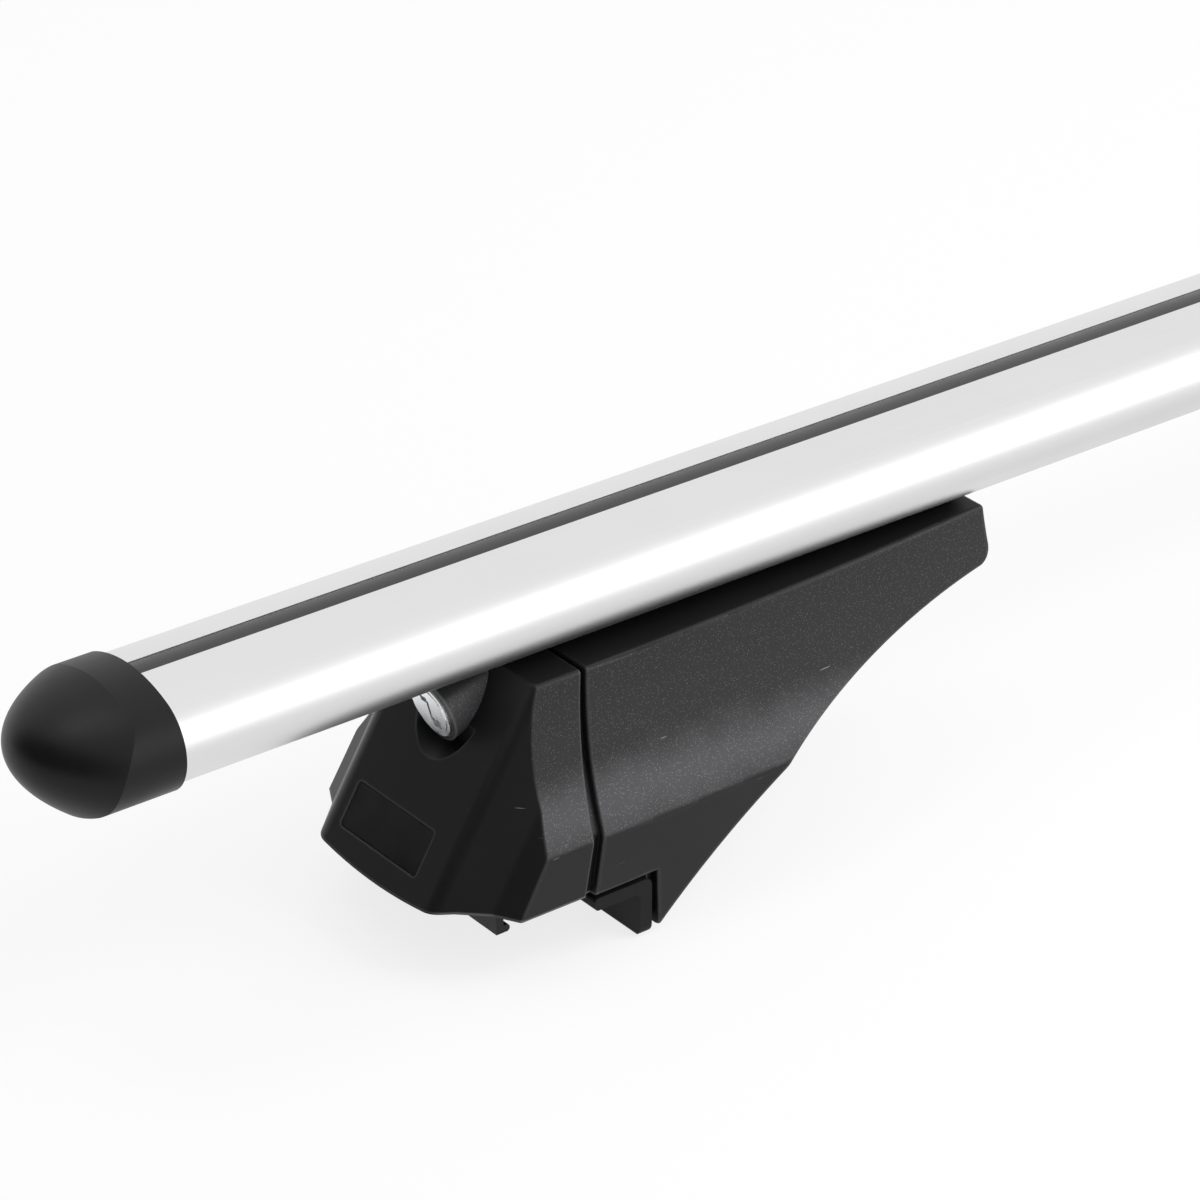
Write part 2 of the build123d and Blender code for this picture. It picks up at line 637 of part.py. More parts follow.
with BuildPart() as cover:
    add(cover_form.part)
    add(cover_block(COVER_WALL), mode=Mode.SUBTRACT)
    add(lock_cup.part)
    with BuildSketch(lock_plane(POCKET_DEPTH)):
        Circle(POCKET_RADIUS)
    extrude(amount=TRIM, mode=Mode.SUBTRACT)
    add(lock_boss.part)
    with BuildSketch(lock_plane(COLLAR_LENGTH)):
        Circle(COLLAR_RADIUS + LOCK_CLEARANCE)
    extrude(amount=TRIM, mode=Mode.SUBTRACT)
    with BuildSketch(lock_plane(BARREL_LENGTH)):
        Circle(BARREL_RADIUS + LOCK_CLEARANCE)
    extrude(amount=TRIM, mode=Mode.SUBTRACT)
    with BuildSketch(face_plane(PLATE_HEIGHT, RECESS_DEPTH)):
        with Locations((PLATE_SHIFT, 0)):
            RectangleRounded(
                PLATE_LENGTH + 2 * RECESS_CLEARANCE,
                PLATE_WIDTH + 2 * RECESS_CLEARANCE,
                PLATE_CORNER + RECESS_CLEARANCE,
            )
    extrude(amount=2 * RECESS_DEPTH, mode=Mode.SUBTRACT)
save_pair(cover.part, "end_cover")

with BuildPart() as plate:
    with BuildSketch(face_plane(PLATE_HEIGHT, RECESS_DEPTH)):
        with Locations((PLATE_SHIFT, 0)):
            RectangleRounded(PLATE_LENGTH, PLATE_WIDTH, PLATE_CORNER)
    extrude(amount=PLATE_THICKNESS)
save_pair(plate.part, "name_plate")

with BuildPart() as barrel:
    with BuildSketch(lock_plane(BARREL_LENGTH)):
        Circle(BARREL_RADIUS)
    extrude(amount=BARREL_LENGTH)
    with BuildSketch(lock_plane(COLLAR_LENGTH)):
        Circle(COLLAR_RADIUS)
    extrude(amount=COLLAR_LENGTH)
    with BuildSketch(lock_plane(PLUG_FACE_DEPTH + PLUG_FACE_GAP)):
        Circle(PLUG_FACE_RADIUS + PLUG_CLEARANCE)
    extrude(amount=TRIM, mode=Mode.SUBTRACT)
    with BuildSketch(lock_plane(BARREL_LENGTH)):
        Circle(PLUG_RADIUS + PLUG_CLEARANCE)
    extrude(amount=BARREL_LENGTH, mode=Mode.SUBTRACT)
save_pair(barrel.part, "lock_barrel")

with BuildPart() as plug:
    with BuildSketch(lock_plane(CAM_REAR + PLUG_TAIL)):
        Circle(PLUG_TAIL_RADIUS)
    extrude(amount=CAM_REAR + PLUG_TAIL)
    with BuildSketch(lock_plane(PLUG_SHOULDER)):
        Circle(PLUG_RADIUS)
    extrude(amount=PLUG_SHOULDER)
    with BuildSketch(lock_plane(PLUG_FACE_DEPTH)):
        Circle(PLUG_FACE_RADIUS)
    extrude(amount=PLUG_FACE_DEPTH + PLUG_PROUD)
    with BuildSketch(lock_plane(KEYWAY_DEPTH)):
        Rectangle(KEYWAY_WIDTH, 2 * KEYWAY_HALF_HEIGHT)
    extrude(amount=TRIM, mode=Mode.SUBTRACT)
    with BuildSketch(lock_plane(KEYWAY_FLAG_DEPTH)):
        with Locations((0, -KEYWAY_HALF_HEIGHT)):
            Rectangle(KEYWAY_FLAG_LENGTH, KEYWAY_FLAG_HEIGHT, align=(Align.MIN, Align.CENTER))
        with Locations((0, KEYWAY_HALF_HEIGHT - KEYWAY_WIDTH)):
            Rectangle(KEYWAY_FOOT_LENGTH, KEYWAY_FOOT_HEIGHT, align=(Align.MAX, Align.MIN))
    extrude(amount=TRIM, mode=Mode.SUBTRACT)
save_pair(plug.part, "lock_plug")

with BuildPart() as cam:
    with BuildSketch(lock_plane(CAM_REAR)):
        Circle(CAM_WIDTH / 2)
        Rectangle(CAM_WIDTH, CAM_LENGTH, align=(Align.CENTER, Align.MIN))
        Circle(PLUG_TAIL_RADIUS + THREAD_CLEARANCE, mode=Mode.SUBTRACT)
    extrude(amount=CAM_THICKNESS)
save_pair(cam.part, "lock_cam")

with BuildPart() as pad:
    pad_front = PAD_OUTER - PAD_LIMB_REACH
    pad_inner = PAD_OUTER - PAD_LEG_THICKNESS
    pad_under = PAD_TOP - PAD_LIMB_THICKNESS
    with BuildSketch(SIDE) as pad_side:
        with BuildLine():
            Polyline(
                (PAD_OUTER, PAD_TOP),
                (pad_front, PAD_TOP),
                (pad_front, pad_under),
                (pad_inner, pad_under),
                (pad_inner, 0),
                (PAD_OUTER, 0),
                close=True,
            )
        make_face()
        fillet(pad_side.vertices().sort_by_distance((pad_inner, pad_under))[0], PAD_END_RADIUS)
        fillet(pad_side.vertices().sort_by_distance((PAD_OUTER, PAD_TOP))[0], PAD_CORNER_RADIUS)
        fillet(pad_side.vertices().sort_by(Axis.X)[:2], PAD_END_RADIUS)
        fillet(pad_side.vertices().sort_by(Axis.Y)[:2], PAD_END_RADIUS)
    extrude(amount=PAD_HALF_LENGTH, both=True)
    with BuildSketch(SECTION.offset(pad_front)) as pad_ends:
        Rectangle(2 * PAD_HALF_LENGTH, PAD_TOP, align=(Align.CENTER, Align.MIN))
        fillet(pad_ends.vertices().sort_by(Axis.Y)[:2], PAD_HEEL_RADIUS)
    extrude(amount=PAD_LIMB_REACH, mode=Mode.INTERSECT)
save_pair(pad.part, "jaw_pad")

with BuildPart() as claw:
    with BuildSketch(SECTION.offset(CLAW_FACE)):
        with Locations((0, CLAW_LIFT)):
            Rectangle(2 * CLAW_HALF_WIDTH, CLAW_SHOULDER, align=(Align.CENTER, Align.MIN))
        with Locations((0, CLAW_LIFT)):
            Rectangle(
                2 * CLAW_NECK_HALF_WIDTH,
                TONGUE_TOP - CLAW_NECK_DROP - CLAW_LIFT,
                align=(Align.CENTER, Align.MIN),
            )
    extrude(amount=CLAW_PLATE)
    with BuildSketch(SIDE) as claw_side:
        with Locations((CLAW_FACE, TONGUE_TOP)):
            Rectangle(
                WEB_BACK + TONGUE_OVERHANG - CLAW_FACE,
                CLAW_PLATE,
                align=(Align.MIN, Align.MAX),
            )
            Rectangle(CLAW_PLATE, TONGUE_TOP - CLAW_LIFT, align=(Align.MIN, Align.MAX))
        fillet(claw_side.vertices().sort_by_distance((CLAW_FACE, TONGUE_TOP))[0], CLAW_BEND_RADIUS)
    extrude(amount=TONGUE_HALF_WIDTH, both=True)
    with BuildSketch(SIDE) as claw_lip:
        with Locations((CLAW_FACE, CLAW_LIFT)):
            Rectangle(CLAW_PLATE + CLAW_LIP_REACH, CLAW_LIP_HEIGHT, align=(Align.MIN, Align.MIN))
        fillet(claw_lip.vertices().sort_by(Axis.X)[-2:], CLAW_LIP_ROUND)
    extrude(amount=CLAW_HALF_WIDTH, both=True)
    with BuildSketch(SECTION.offset(CLAW_FACE - CLAW_PLATE)):
        with Locations((0, BOLT_HEIGHT)):
            Circle(BOLT_DIAMETER / 2 + HOLE_CLEARANCE)
    extrude(amount=3 * CLAW_PLATE, mode=Mode.SUBTRACT)
save_pair(claw.part, "rail_claw")

with BuildPart() as bracket:
    with BuildSketch(SIDE):
        with Locations((WEB, CEILING)):
            Rectangle(BRACKET_LENGTH, BRACKET_PLATE, align=(Align.MIN, Align.MAX))
            Rectangle(BRACKET_PLATE, CEILING - FLOOR, align=(Align.MIN, Align.MAX))
        with Locations((WEB_BACK, FLOOR)):
            Rectangle(BRACKET_SHELF + BRACKET_PLATE, BRACKET_PLATE, align=(Align.MAX, Align.MIN))
    extrude(amount=BRACKET_HALF_WIDTH, both=True)
    with BuildSketch(SECTION.offset(WEB - BRACKET_PLATE)):
        with Locations((0, BOLT_HEIGHT)):
            Circle(BOLT_DIAMETER / 2 + HOLE_CLEARANCE)
        with Locations((0, TONGUE_TOP - CLAW_PLATE / 2)):
            Rectangle(
                2 * (TONGUE_HALF_WIDTH + TONGUE_CLEARANCE),
                CLAW_PLATE + 2 * TONGUE_CLEARANCE,
            )
    extrude(amount=3 * BRACKET_PLATE, mode=Mode.SUBTRACT)
    with BuildSketch(PLAN.offset(CEILING)):
        with Locations(*BAR_BOLT_PLACES):
            Circle(BOLT_DIAMETER / 2 + HOLE_CLEARANCE)
    extrude(amount=-2 * BRACKET_PLATE, mode=Mode.SUBTRACT)
save_pair(bracket.part, "foot_bracket")

with BuildPart() as clamp_bolt:
    with BuildSketch(SECTION.offset(BOLT_SEAT)):
        with Locations((0, BOLT_HEIGHT)):
            RegularPolygon(HEX_WIDTH / 2, 6, major_radius=False)
    extrude(amount=-BOLT_HEAD_HEIGHT)
    with BuildSketch(SECTION.offset(BOLT_SEAT)):
        with Locations((0, BOLT_HEIGHT)):
            Circle(BOLT_DIAMETER / 2)
    extrude(amount=WEB_BACK + NUT_HEIGHT + CLAMP_BOLT_TAIL - BOLT_SEAT)
save_pair(clamp_bolt.part, "clamp_bolt")

with BuildPart() as clamp_washer:
    with BuildSketch(SECTION.offset(CLAW_FACE)):
        with Locations((0, BOLT_HEIGHT)):
            Circle(WASHER_DIAMETER / 2)
            Circle(BOLT_DIAMETER / 2 + WASHER_CLEARANCE, mode=Mode.SUBTRACT)
    extrude(amount=-WASHER_THICKNESS)
save_pair(clamp_washer.part, "clamp_washer")

with BuildPart() as clamp_nut:
    with BuildSketch(SECTION.offset(WEB_BACK)):
        with Locations((0, BOLT_HEIGHT)):
            RegularPolygon(HEX_WIDTH / 2, 6, major_radius=False)
            Circle(BOLT_DIAMETER / 2 + THREAD_CLEARANCE, mode=Mode.SUBTRACT)
    extrude(amount=NUT_HEIGHT)
save_pair(clamp_nut.part, "clamp_nut")

with BuildPart() as bar_bolts:
    with BuildSketch(PLAN.offset(HEAD_UNDER)):
        with Locations(*BAR_BOLT_PLACES):
            Rectangle(SQUARE_HEAD, SQUARE_HEAD)
    extrude(amount=SQUARE_HEAD_HEIGHT)
    with BuildSketch(PLAN.offset(NUT_UNDER - BAR_BOLT_TAIL)):
        with Locations(*BAR_BOLT_PLACES):
            Circle(BOLT_DIAMETER / 2)
    extrude(amount=HEAD_UNDER - NUT_UNDER + BAR_BOLT_TAIL)
save_pair(bar_bolts.part, "bar_bolts")

with BuildPart() as bar_washers:
    with BuildSketch(PLAN.offset(FLANGE_UNDER)):
        with Locations(*BAR_BOLT_PLACES):
            Circle(WASHER_DIAMETER / 2)
            Circle(BOLT_DIAMETER / 2 + WASHER_CLEARANCE, mode=Mode.SUBTRACT)
    extrude(amount=-WASHER_THICKNESS)
save_pair(bar_washers.part, "bar_washers")

with BuildPart() as bar_nuts:
    with BuildSketch(PLAN.offset(NUT_UNDER)):
        with Locations(*BAR_BOLT_PLACES):
            RegularPolygon(HEX_WIDTH / 2, 6, major_radius=False)
            Circle(BOLT_DIAMETER / 2 + THREAD_CLEARANCE, mode=Mode.SUBTRACT)
    extrude(amount=NUT_HEIGHT)
save_pair(bar_nuts.part, "bar_nuts")
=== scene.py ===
"""Dresses a roof rack crossbar: an oval aluminium bar on two clamp feet with lockable covers.

The frame holds every rigid piece. This file gives each piece its finish, models the bolts again
with their threads, sets up a white studio and places the camera. Lengths are in metres unless a
name ends in _mm.
"""

import logging
import math
from dataclasses import dataclass, field
from enum import Enum

import bmesh
import bpy
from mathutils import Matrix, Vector

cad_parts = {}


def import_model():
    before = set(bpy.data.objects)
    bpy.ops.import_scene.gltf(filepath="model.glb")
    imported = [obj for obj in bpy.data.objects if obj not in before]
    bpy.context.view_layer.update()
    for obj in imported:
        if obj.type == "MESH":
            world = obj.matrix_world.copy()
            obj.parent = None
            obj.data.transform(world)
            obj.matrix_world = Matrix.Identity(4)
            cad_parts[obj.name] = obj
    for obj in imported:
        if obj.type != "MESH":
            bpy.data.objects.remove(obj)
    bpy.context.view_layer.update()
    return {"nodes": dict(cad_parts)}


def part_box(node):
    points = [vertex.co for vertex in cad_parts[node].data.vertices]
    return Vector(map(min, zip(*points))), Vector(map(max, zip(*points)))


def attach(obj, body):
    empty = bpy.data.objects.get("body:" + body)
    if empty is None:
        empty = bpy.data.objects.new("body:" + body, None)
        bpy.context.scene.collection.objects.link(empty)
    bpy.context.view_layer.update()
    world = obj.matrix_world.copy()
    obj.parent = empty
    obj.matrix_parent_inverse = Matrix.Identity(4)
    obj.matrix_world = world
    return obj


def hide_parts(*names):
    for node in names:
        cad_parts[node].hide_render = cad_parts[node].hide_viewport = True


LOG = logging.getLogger("crossbar")
MM = 0.001
# Most of what a noise texture gives lies between these two.
NOISE_LOW, NOISE_HIGH = 0.3, 0.7
WHITE = (1.0, 1.0, 1.0, 1.0)
# A Mix node's sockets for colours go by number, because its other sockets have the same names.
MIX_SHARE, MIX_FROM, MIX_TO, MIX_RESULT = 0, 6, 7, 2


class Side(Enum):
    """The two ends of the bar, named as in the frame."""

    LEFT = "left"
    RIGHT = "right"


class Head(Enum):
    """The two kinds of bolt head, by the number of their sides."""

    HEX = 6
    SQUARE = 4


def linear(code: str) -> tuple[float, float, float, float]:
    """Turn an sRGB hex colour into linear RGBA.

    Args:
        code: Six hex digits after a hash sign.

    Returns:
        The colour as Cycles mixes it, with full alpha.
    """
    values = [int(code[i : i + 2], 16) / 255 for i in (1, 3, 5)]
    mixed = [v / 12.92 if v <= 0.04045 else ((v + 0.055) / 1.055) ** 2.4 for v in values]
    return (*mixed, 1.0)


def per_mm(size_mm: float) -> float:
    """Give the texture scale at which one feature is about size_mm across."""
    return 1 / (size_mm * MM)


def add_node(
    tree: bpy.types.NodeTree, kind: str, inputs: dict | None = None, **settings: object
) -> bpy.types.Node:
    """Add a node with its settings, values and links.

    Args:
        tree: The tree that gets the node.
        kind: The node's type name.
        inputs: A socket to link from, or a plain value, for each input by name or number.
        settings: Properties of the node itself.

    Returns:
        The new node.
    """
    node = tree.nodes.new(kind)
    for name, value in settings.items():
        setattr(node, name, value)
    for name, value in (inputs or {}).items():
        if isinstance(value, bpy.types.NodeSocket):
            tree.links.new(value, node.inputs[name])
        else:
            node.inputs[name].default_value = value
    return node


def blank_material(name: str) -> bpy.types.Material:
    """Make a node material with an empty tree.

    Args:
        name: What it is called.

    Returns:
        The new material.
    """
    material = bpy.data.materials.new(name)
    material.use_nodes = True
    material.node_tree.nodes.clear()
    return material


@dataclass(frozen=True)
class Finish:
    """A surface finish that builds its own node material."""

    name: str
    colour: str

    def make(self) -> bpy.types.Material:
        """Build the material, once.

        Returns:
            The node material with the finish's name.
        """
        if self.name in bpy.data.materials:
            return bpy.data.materials[self.name]
        material = blank_material(self.name)
        tree = material.node_tree
        shader = add_node(tree, "ShaderNodeBsdfPrincipled", {"Base Color": linear(self.colour)})
        add_node(tree, "ShaderNodeOutputMaterial", {"Surface": shader.outputs["BSDF"]})
        place = add_node(tree, "ShaderNodeTexCoord").outputs["Object"]
        self.draw(tree, shader, place)
        return material

    def draw(
        self, tree: bpy.types.NodeTree, shader: bpy.types.Node, place: bpy.types.NodeSocket
    ) -> None:
        """Add the finish's own nodes.

        Args:
            tree: The material's tree.
            shader: Its Principled shader.
            place: Object coordinates, in metres.
        """
        raise NotImplementedError


@dataclass(frozen=True)
class AnodisedAluminium(Finish):
    """Extruded, satin anodised aluminium: pale metal with faint draw lines along the bar.

    Real draw lines are finer than 0.1 mm. They are drawn coarser so that a render shows them.
    """

    draw_line_mm: float = 0.6
    draw_length_mm: float = 180.0
    line_depth_mm: float = 0.02
    line_strength: float = 0.05
    cloud_mm: float = 35.0
    cloud_colour: str = "#dbdbdb"
    cloud_high: float = 0.5
    least_roughness: float = 0.36
    most_roughness: float = 0.42

    def draw(
        self, tree: bpy.types.NodeTree, shader: bpy.types.Node, place: bpy.types.NodeSocket
    ) -> None:
        """Stretch fine noise along the bar, as the die leaves it, and cloud the anodised skin.

        Args:
            tree: The material's tree.
            shader: Its Principled shader.
            place: Object coordinates, in metres.
        """
        along, across = per_mm(self.draw_length_mm), per_mm(self.draw_line_mm)
        stretched = add_node(
            tree, "ShaderNodeMapping", {"Vector": place, "Scale": (along, across, across)}
        )
        lines = add_node(
            tree,
            "ShaderNodeTexNoise",
            {"Vector": stretched.outputs["Vector"], "Scale": 1.0, "Detail": 3.0},
        )
        cloud = add_node(
            tree,
            "ShaderNodeTexNoise",
            {"Vector": place, "Scale": per_mm(self.cloud_mm), "Detail": 2.0},
        )
        mixed = add_node(
            tree,
            "ShaderNodeMath",
            {0: lines.outputs["Fac"], 1: cloud.outputs["Fac"]},
            operation="MULTIPLY",
        )
        rough = add_node(
            tree,
            "ShaderNodeMapRange",
            {
                "Value": mixed.outputs["Value"],
                "From Max": self.cloud_high,
                "To Min": self.least_roughness,
                "To Max": self.most_roughness,
            },
        )
        tone = add_node(
            tree,
            "ShaderNodeMix",
            {
                MIX_SHARE: mixed.outputs["Value"],
                MIX_FROM: linear(self.colour),
                MIX_TO: linear(self.cloud_colour),
            },
            data_type="RGBA",
        )
        bump = add_node(
            tree,
            "ShaderNodeBump",
            {
                "Strength": self.line_strength,
                "Distance": self.line_depth_mm * MM,
                "Height": lines.outputs["Fac"],
            },
        )
        tree.links.new(tone.outputs[MIX_RESULT], shader.inputs["Base Color"])
        tree.links.new(rough.outputs["Result"], shader.inputs["Roughness"])
        tree.links.new(bump.outputs["Normal"], shader.inputs["Normal"])
        shader.inputs["Metallic"].default_value = 1.0


@dataclass(frozen=True)
class MouldedPlastic(Finish):
    """Injection-moulded black plastic with a fine eroded grain, painted glints and sheen, and pale
    edges that are partly rub wear and partly painted highlight.

    Real mould grain is about 0.15 mm. It is drawn coarser so that a render shows it.
    """

    # The moulded colour, slightly cloudy, and its gloss with and without grain.
    cloud_mm: float = 28.0
    cloud_colour: str = "#1b1b1c"
    smooth_roughness: float = 0.42
    grain_roughness: float = 0.48
    specular: float = 0.26
    # Faces that look along the vehicle are flanks and carry the full grain.
    flank_from: float = 0.7
    flank_to: float = 0.86
    off_flank: float = 0.3
    # Under the belly, at this height, the mould is smoother.
    belly_mm: float = 45.5
    crease_mm: float = 1.0
    below_belly: float = 0.2
    # The eroded grain, and the paler tone of its crests, which is painted sheen and is strongest in
    # the sheen band below.
    grain_mm: float = 0.7
    grain_depth_mm: float = 0.035
    grain_strength: float = 0.6
    grain_sheen_colour: str = "#4e4e50"
    grain_share: float = 0.75
    # The painted sheen: paler grain crests in a wavy band that lies band_mm above the belly, where
    # the flank turns up to the light, and on the boss round the lock.
    sheen_width_mm: float = 16.0
    band_mm: float = 8.5
    patch_mm: float = 26.0
    off_band: float = 0.1
    boss_mm: float = 15.0
    boss_fade_mm: float = 2.0
    boss_share: float = 0.9
    # The pale edges, partly rub wear and partly painted edge highlight, fainter on faces that look
    # along the bar.
    edge_mm: float = 0.9
    worn_edge_highlight_colour: str = "#6c6c6e"
    edge_share: float = 0.7
    face_edge_share: float = 0.4
    edge_flank_from: float = 0.3
    edge_flank_to: float = 0.7
    edge_open: float = 0.97
    edge_closed: float = 0.75
    edge_samples: int = 8
    # The painted glints: pale points on single crests; speck_pick is the share of cells without
    # one.
    speck_mm: float = 0.6
    glint_colour: str = "#98989a"
    speck_share: float = 0.75
    speck_floor: float = 0.4
    speck_pick: float = 0.45
    speck_core: float = 0.12
    speck_rim: float = 0.34
    # The scratches, as the highest crests of a turned and stretched noise.
    scratch_share: float = 0.7
    scratch_turn_deg: tuple[float, float, float] = (0.0, 33.0, 8.0)
    scratch_cell_mm: tuple[float, float, float] = (14.0, 9.0, 0.9)
    scratch_from: float = 0.79
    scratch_to: float = 0.84

    def aside(self, tree: bpy.types.NodeTree) -> bpy.types.NodeSocket:
        """Say how far a face looks along the vehicle.

        Args:
            tree: The material's tree.

        Returns:
            A value socket, 0 on faces that look along the bar or upwards and 1 on upright flanks.
        """
        normal = add_node(tree, "ShaderNodeNewGeometry").outputs["Normal"]
        parts = add_node(tree, "ShaderNodeSeparateXYZ", {"Vector": normal})
        size = add_node(tree, "ShaderNodeMath", {0: parts.outputs["Y"]}, operation="ABSOLUTE")
        return size.outputs["Value"]

    def grained(
        self, tree: bpy.types.NodeTree, place: bpy.types.NodeSocket
    ) -> bpy.types.NodeSocket:
        """Say where the mould was eroded: the flanks above the belly, less so elsewhere.

        Args:
            tree: The material's tree.
            place: Object coordinates.

        Returns:
            A value socket, 1 on the grained flanks and at most off_flank elsewhere.
        """
        flank = add_node(
            tree,
            "ShaderNodeMapRange",
            {
                "Value": self.aside(tree),
                "From Min": self.flank_from,
                "From Max": self.flank_to,
                "To Min": self.off_flank,
            },
            interpolation_type="SMOOTHSTEP",
        )
        height = add_node(tree, "ShaderNodeSeparateXYZ", {"Vector": place})
        upper = add_node(
            tree,
            "ShaderNodeMapRange",
            {
                "Value": height.outputs["Z"],
                "From Min": (self.belly_mm - self.crease_mm) * MM,
                "From Max": (self.belly_mm + self.crease_mm) * MM,
                "To Min": self.below_belly,
            },
            interpolation_type="SMOOTHSTEP",
        )
        both = add_node(
            tree,
            "ShaderNodeMath",
            {0: flank.outputs["Result"], 1: upper.outputs["Result"]},
            operation="MULTIPLY",
        )
        return both.outputs["Value"]

    def painted_sheen(
        self, tree: bpy.types.NodeTree, place: bpy.types.NodeSocket
    ) -> bpy.types.NodeSocket:
        """Say how much sheen is painted on the grain's crests: in a band above the belly, and on
        the boss.

        Args:
            tree: The material's tree.
            place: Object coordinates.

        Returns:
            A value socket, 1 in the middle of the band, boss_share on the boss, else off_band.
        """
        height = add_node(tree, "ShaderNodeSeparateXYZ", {"Vector": place})
        patches = add_node(
            tree,
            "ShaderNodeTexNoise",
            {"Vector": place, "Scale": per_mm(self.patch_mm), "Detail": 5.0},
        )
        wavy = add_node(
            tree,
            "ShaderNodeMath",
            {
                0: patches.outputs["Fac"],
                1: -self.sheen_width_mm * MM,
                2: height.outputs["Z"],
            },
            operation="MULTIPLY_ADD",
        )
        middle = self.belly_mm + self.band_mm - self.sheen_width_mm / 2
        off = add_node(
            tree,
            "ShaderNodeMath",
            {0: wavy.outputs["Value"], 1: middle * MM},
            operation="SUBTRACT",
        )
        away = add_node(tree, "ShaderNodeMath", {0: off.outputs["Value"]}, operation="ABSOLUTE")
        band = add_node(
            tree,
            "ShaderNodeMapRange",
            {
                "Value": away.outputs["Value"],
                "From Max": self.sheen_width_mm * MM,
                "To Min": 1.0,
                "To Max": self.off_band,
            },
            interpolation_type="SMOOTHSTEP",
        )
        off_middle = add_node(
            tree, "ShaderNodeMath", {0: height.outputs["Y"]}, operation="ABSOLUTE"
        )
        boss = add_node(
            tree,
            "ShaderNodeMapRange",
            {
                "Value": off_middle.outputs["Value"],
                "From Min": (self.boss_mm - self.boss_fade_mm) * MM,
                "From Max": (self.boss_mm + self.boss_fade_mm) * MM,
                "To Min": self.boss_share,
                "To Max": 0.0,
            },
        )
        either = add_node(
            tree,
            "ShaderNodeMath",
            {0: band.outputs["Result"], 1: boss.outputs["Result"]},
            operation="MAXIMUM",
        )
        return either.outputs["Value"]

    def edge_wear_and_highlights(self, tree: bpy.types.NodeTree) -> bpy.types.NodeSocket:
        """Find the outer edges and paint them paler, as rub wear and as painted edge highlight,
        most on the flanks.

        Args:
            tree: The material's tree.

        Returns:
            A value socket, 0 on open faces and up to edge_share on edges.
        """
        share = add_node(
            tree,
            "ShaderNodeMapRange",
            {
                "Value": self.aside(tree),
                "From Min": self.edge_flank_from,
                "From Max": self.edge_flank_to,
                "To Min": self.edge_share * self.face_edge_share,
                "To Max": self.edge_share,
            },
        )
        thin = add_node(
            tree,
            "ShaderNodeAmbientOcclusion",
            {"Distance": self.edge_mm * MM},
            samples=self.edge_samples,
            inside=True,
            only_local=True,
        )
        edge = add_node(
            tree,
            "ShaderNodeMapRange",
            {
                "Value": thin.outputs["AO"],
                "From Min": self.edge_open,
                "From Max": self.edge_closed,
                "To Max": share.outputs["Result"],
            },
        )
        return edge.outputs["Result"]

    def painted_glints(
        self, tree: bpy.types.NodeTree, place: bpy.types.NodeSocket
    ) -> bpy.types.NodeSocket:
        """Paint glints: the pale points that the grain's crests show in a raking light.

        Args:
            tree: The material's tree.
            place: Object coordinates.

        Returns:
            A value socket, up to speck_share on a speck.
        """
        cells = add_node(
            tree, "ShaderNodeTexVoronoi", {"Vector": place, "Scale": per_mm(self.speck_mm)}
        )
        pick = add_node(tree, "ShaderNodeSeparateColor", {"Color": cells.outputs["Color"]})
        few = add_node(
            tree,
            "ShaderNodeMath",
            {0: pick.outputs["Red"], 1: self.speck_pick},
            operation="GREATER_THAN",
        )
        dot = add_node(
            tree,
            "ShaderNodeMapRange",
            {
                "Value": cells.outputs["Distance"],
                "From Min": self.speck_core,
                "From Max": self.speck_rim,
                "To Min": self.speck_share,
                "To Max": 0.0,
            },
        )
        found = add_node(
            tree,
            "ShaderNodeMath",
            {0: few.outputs["Value"], 1: dot.outputs["Result"]},
            operation="MULTIPLY",
        )
        return found.outputs["Value"]

    def scratches(
        self, tree: bpy.types.NodeTree, place: bpy.types.NodeSocket
    ) -> bpy.types.NodeSocket:
        """Draw a few short handling scratches, a few millimetres long and under 1 mm wide.

        Args:
            tree: The material's tree.
            place: Object coordinates.

        Returns:
            A value socket, up to scratch_share on a scratch.
        """
        turned = add_node(
            tree,
            "ShaderNodeMapping",
            {
                "Vector": place,
                "Rotation": tuple(math.radians(turn) for turn in self.scratch_turn_deg),
                "Scale": tuple(per_mm(size) for size in self.scratch_cell_mm),
            },
        )
        streaks = add_node(
            tree,
            "ShaderNodeTexNoise",
            {"Vector": turned.outputs["Vector"], "Scale": 1.0, "Detail": 1.0},
        )
        scratch = add_node(
            tree,
            "ShaderNodeMapRange",
            {
                "Value": streaks.outputs["Fac"],
                "From Min": self.scratch_from,
                "From Max": self.scratch_to,
                "To Max": self.scratch_share,
            },
        )
        return scratch.outputs["Result"]

    def draw(
        self, tree: bpy.types.NodeTree, shader: bpy.types.Node, place: bpy.types.NodeSocket
    ) -> None:
        """Lay grain, painted sheen and glints, scratches and pale edges (rub wear and painted
        highlight) over the moulded colour.

        Args:
            tree: The material's tree.
            shader: Its Principled shader.
            place: Object coordinates, in metres.
        """
        eroded = self.grained(tree, place)
        grain = add_node(
            tree,
            "ShaderNodeTexNoise",
            {"Vector": place, "Scale": per_mm(self.grain_mm), "Detail": 3.0, "Roughness": 0.6},
        )
        cloud = add_node(
            tree,
            "ShaderNodeTexNoise",
            {"Vector": place, "Scale": per_mm(self.cloud_mm), "Detail": 3.0},
        )
        tone = add_node(
            tree,
            "ShaderNodeMix",
            {
                MIX_SHARE: cloud.outputs["Fac"],
                MIX_FROM: linear(self.colour),
                MIX_TO: linear(self.cloud_colour),
            },
            data_type="RGBA",
        )
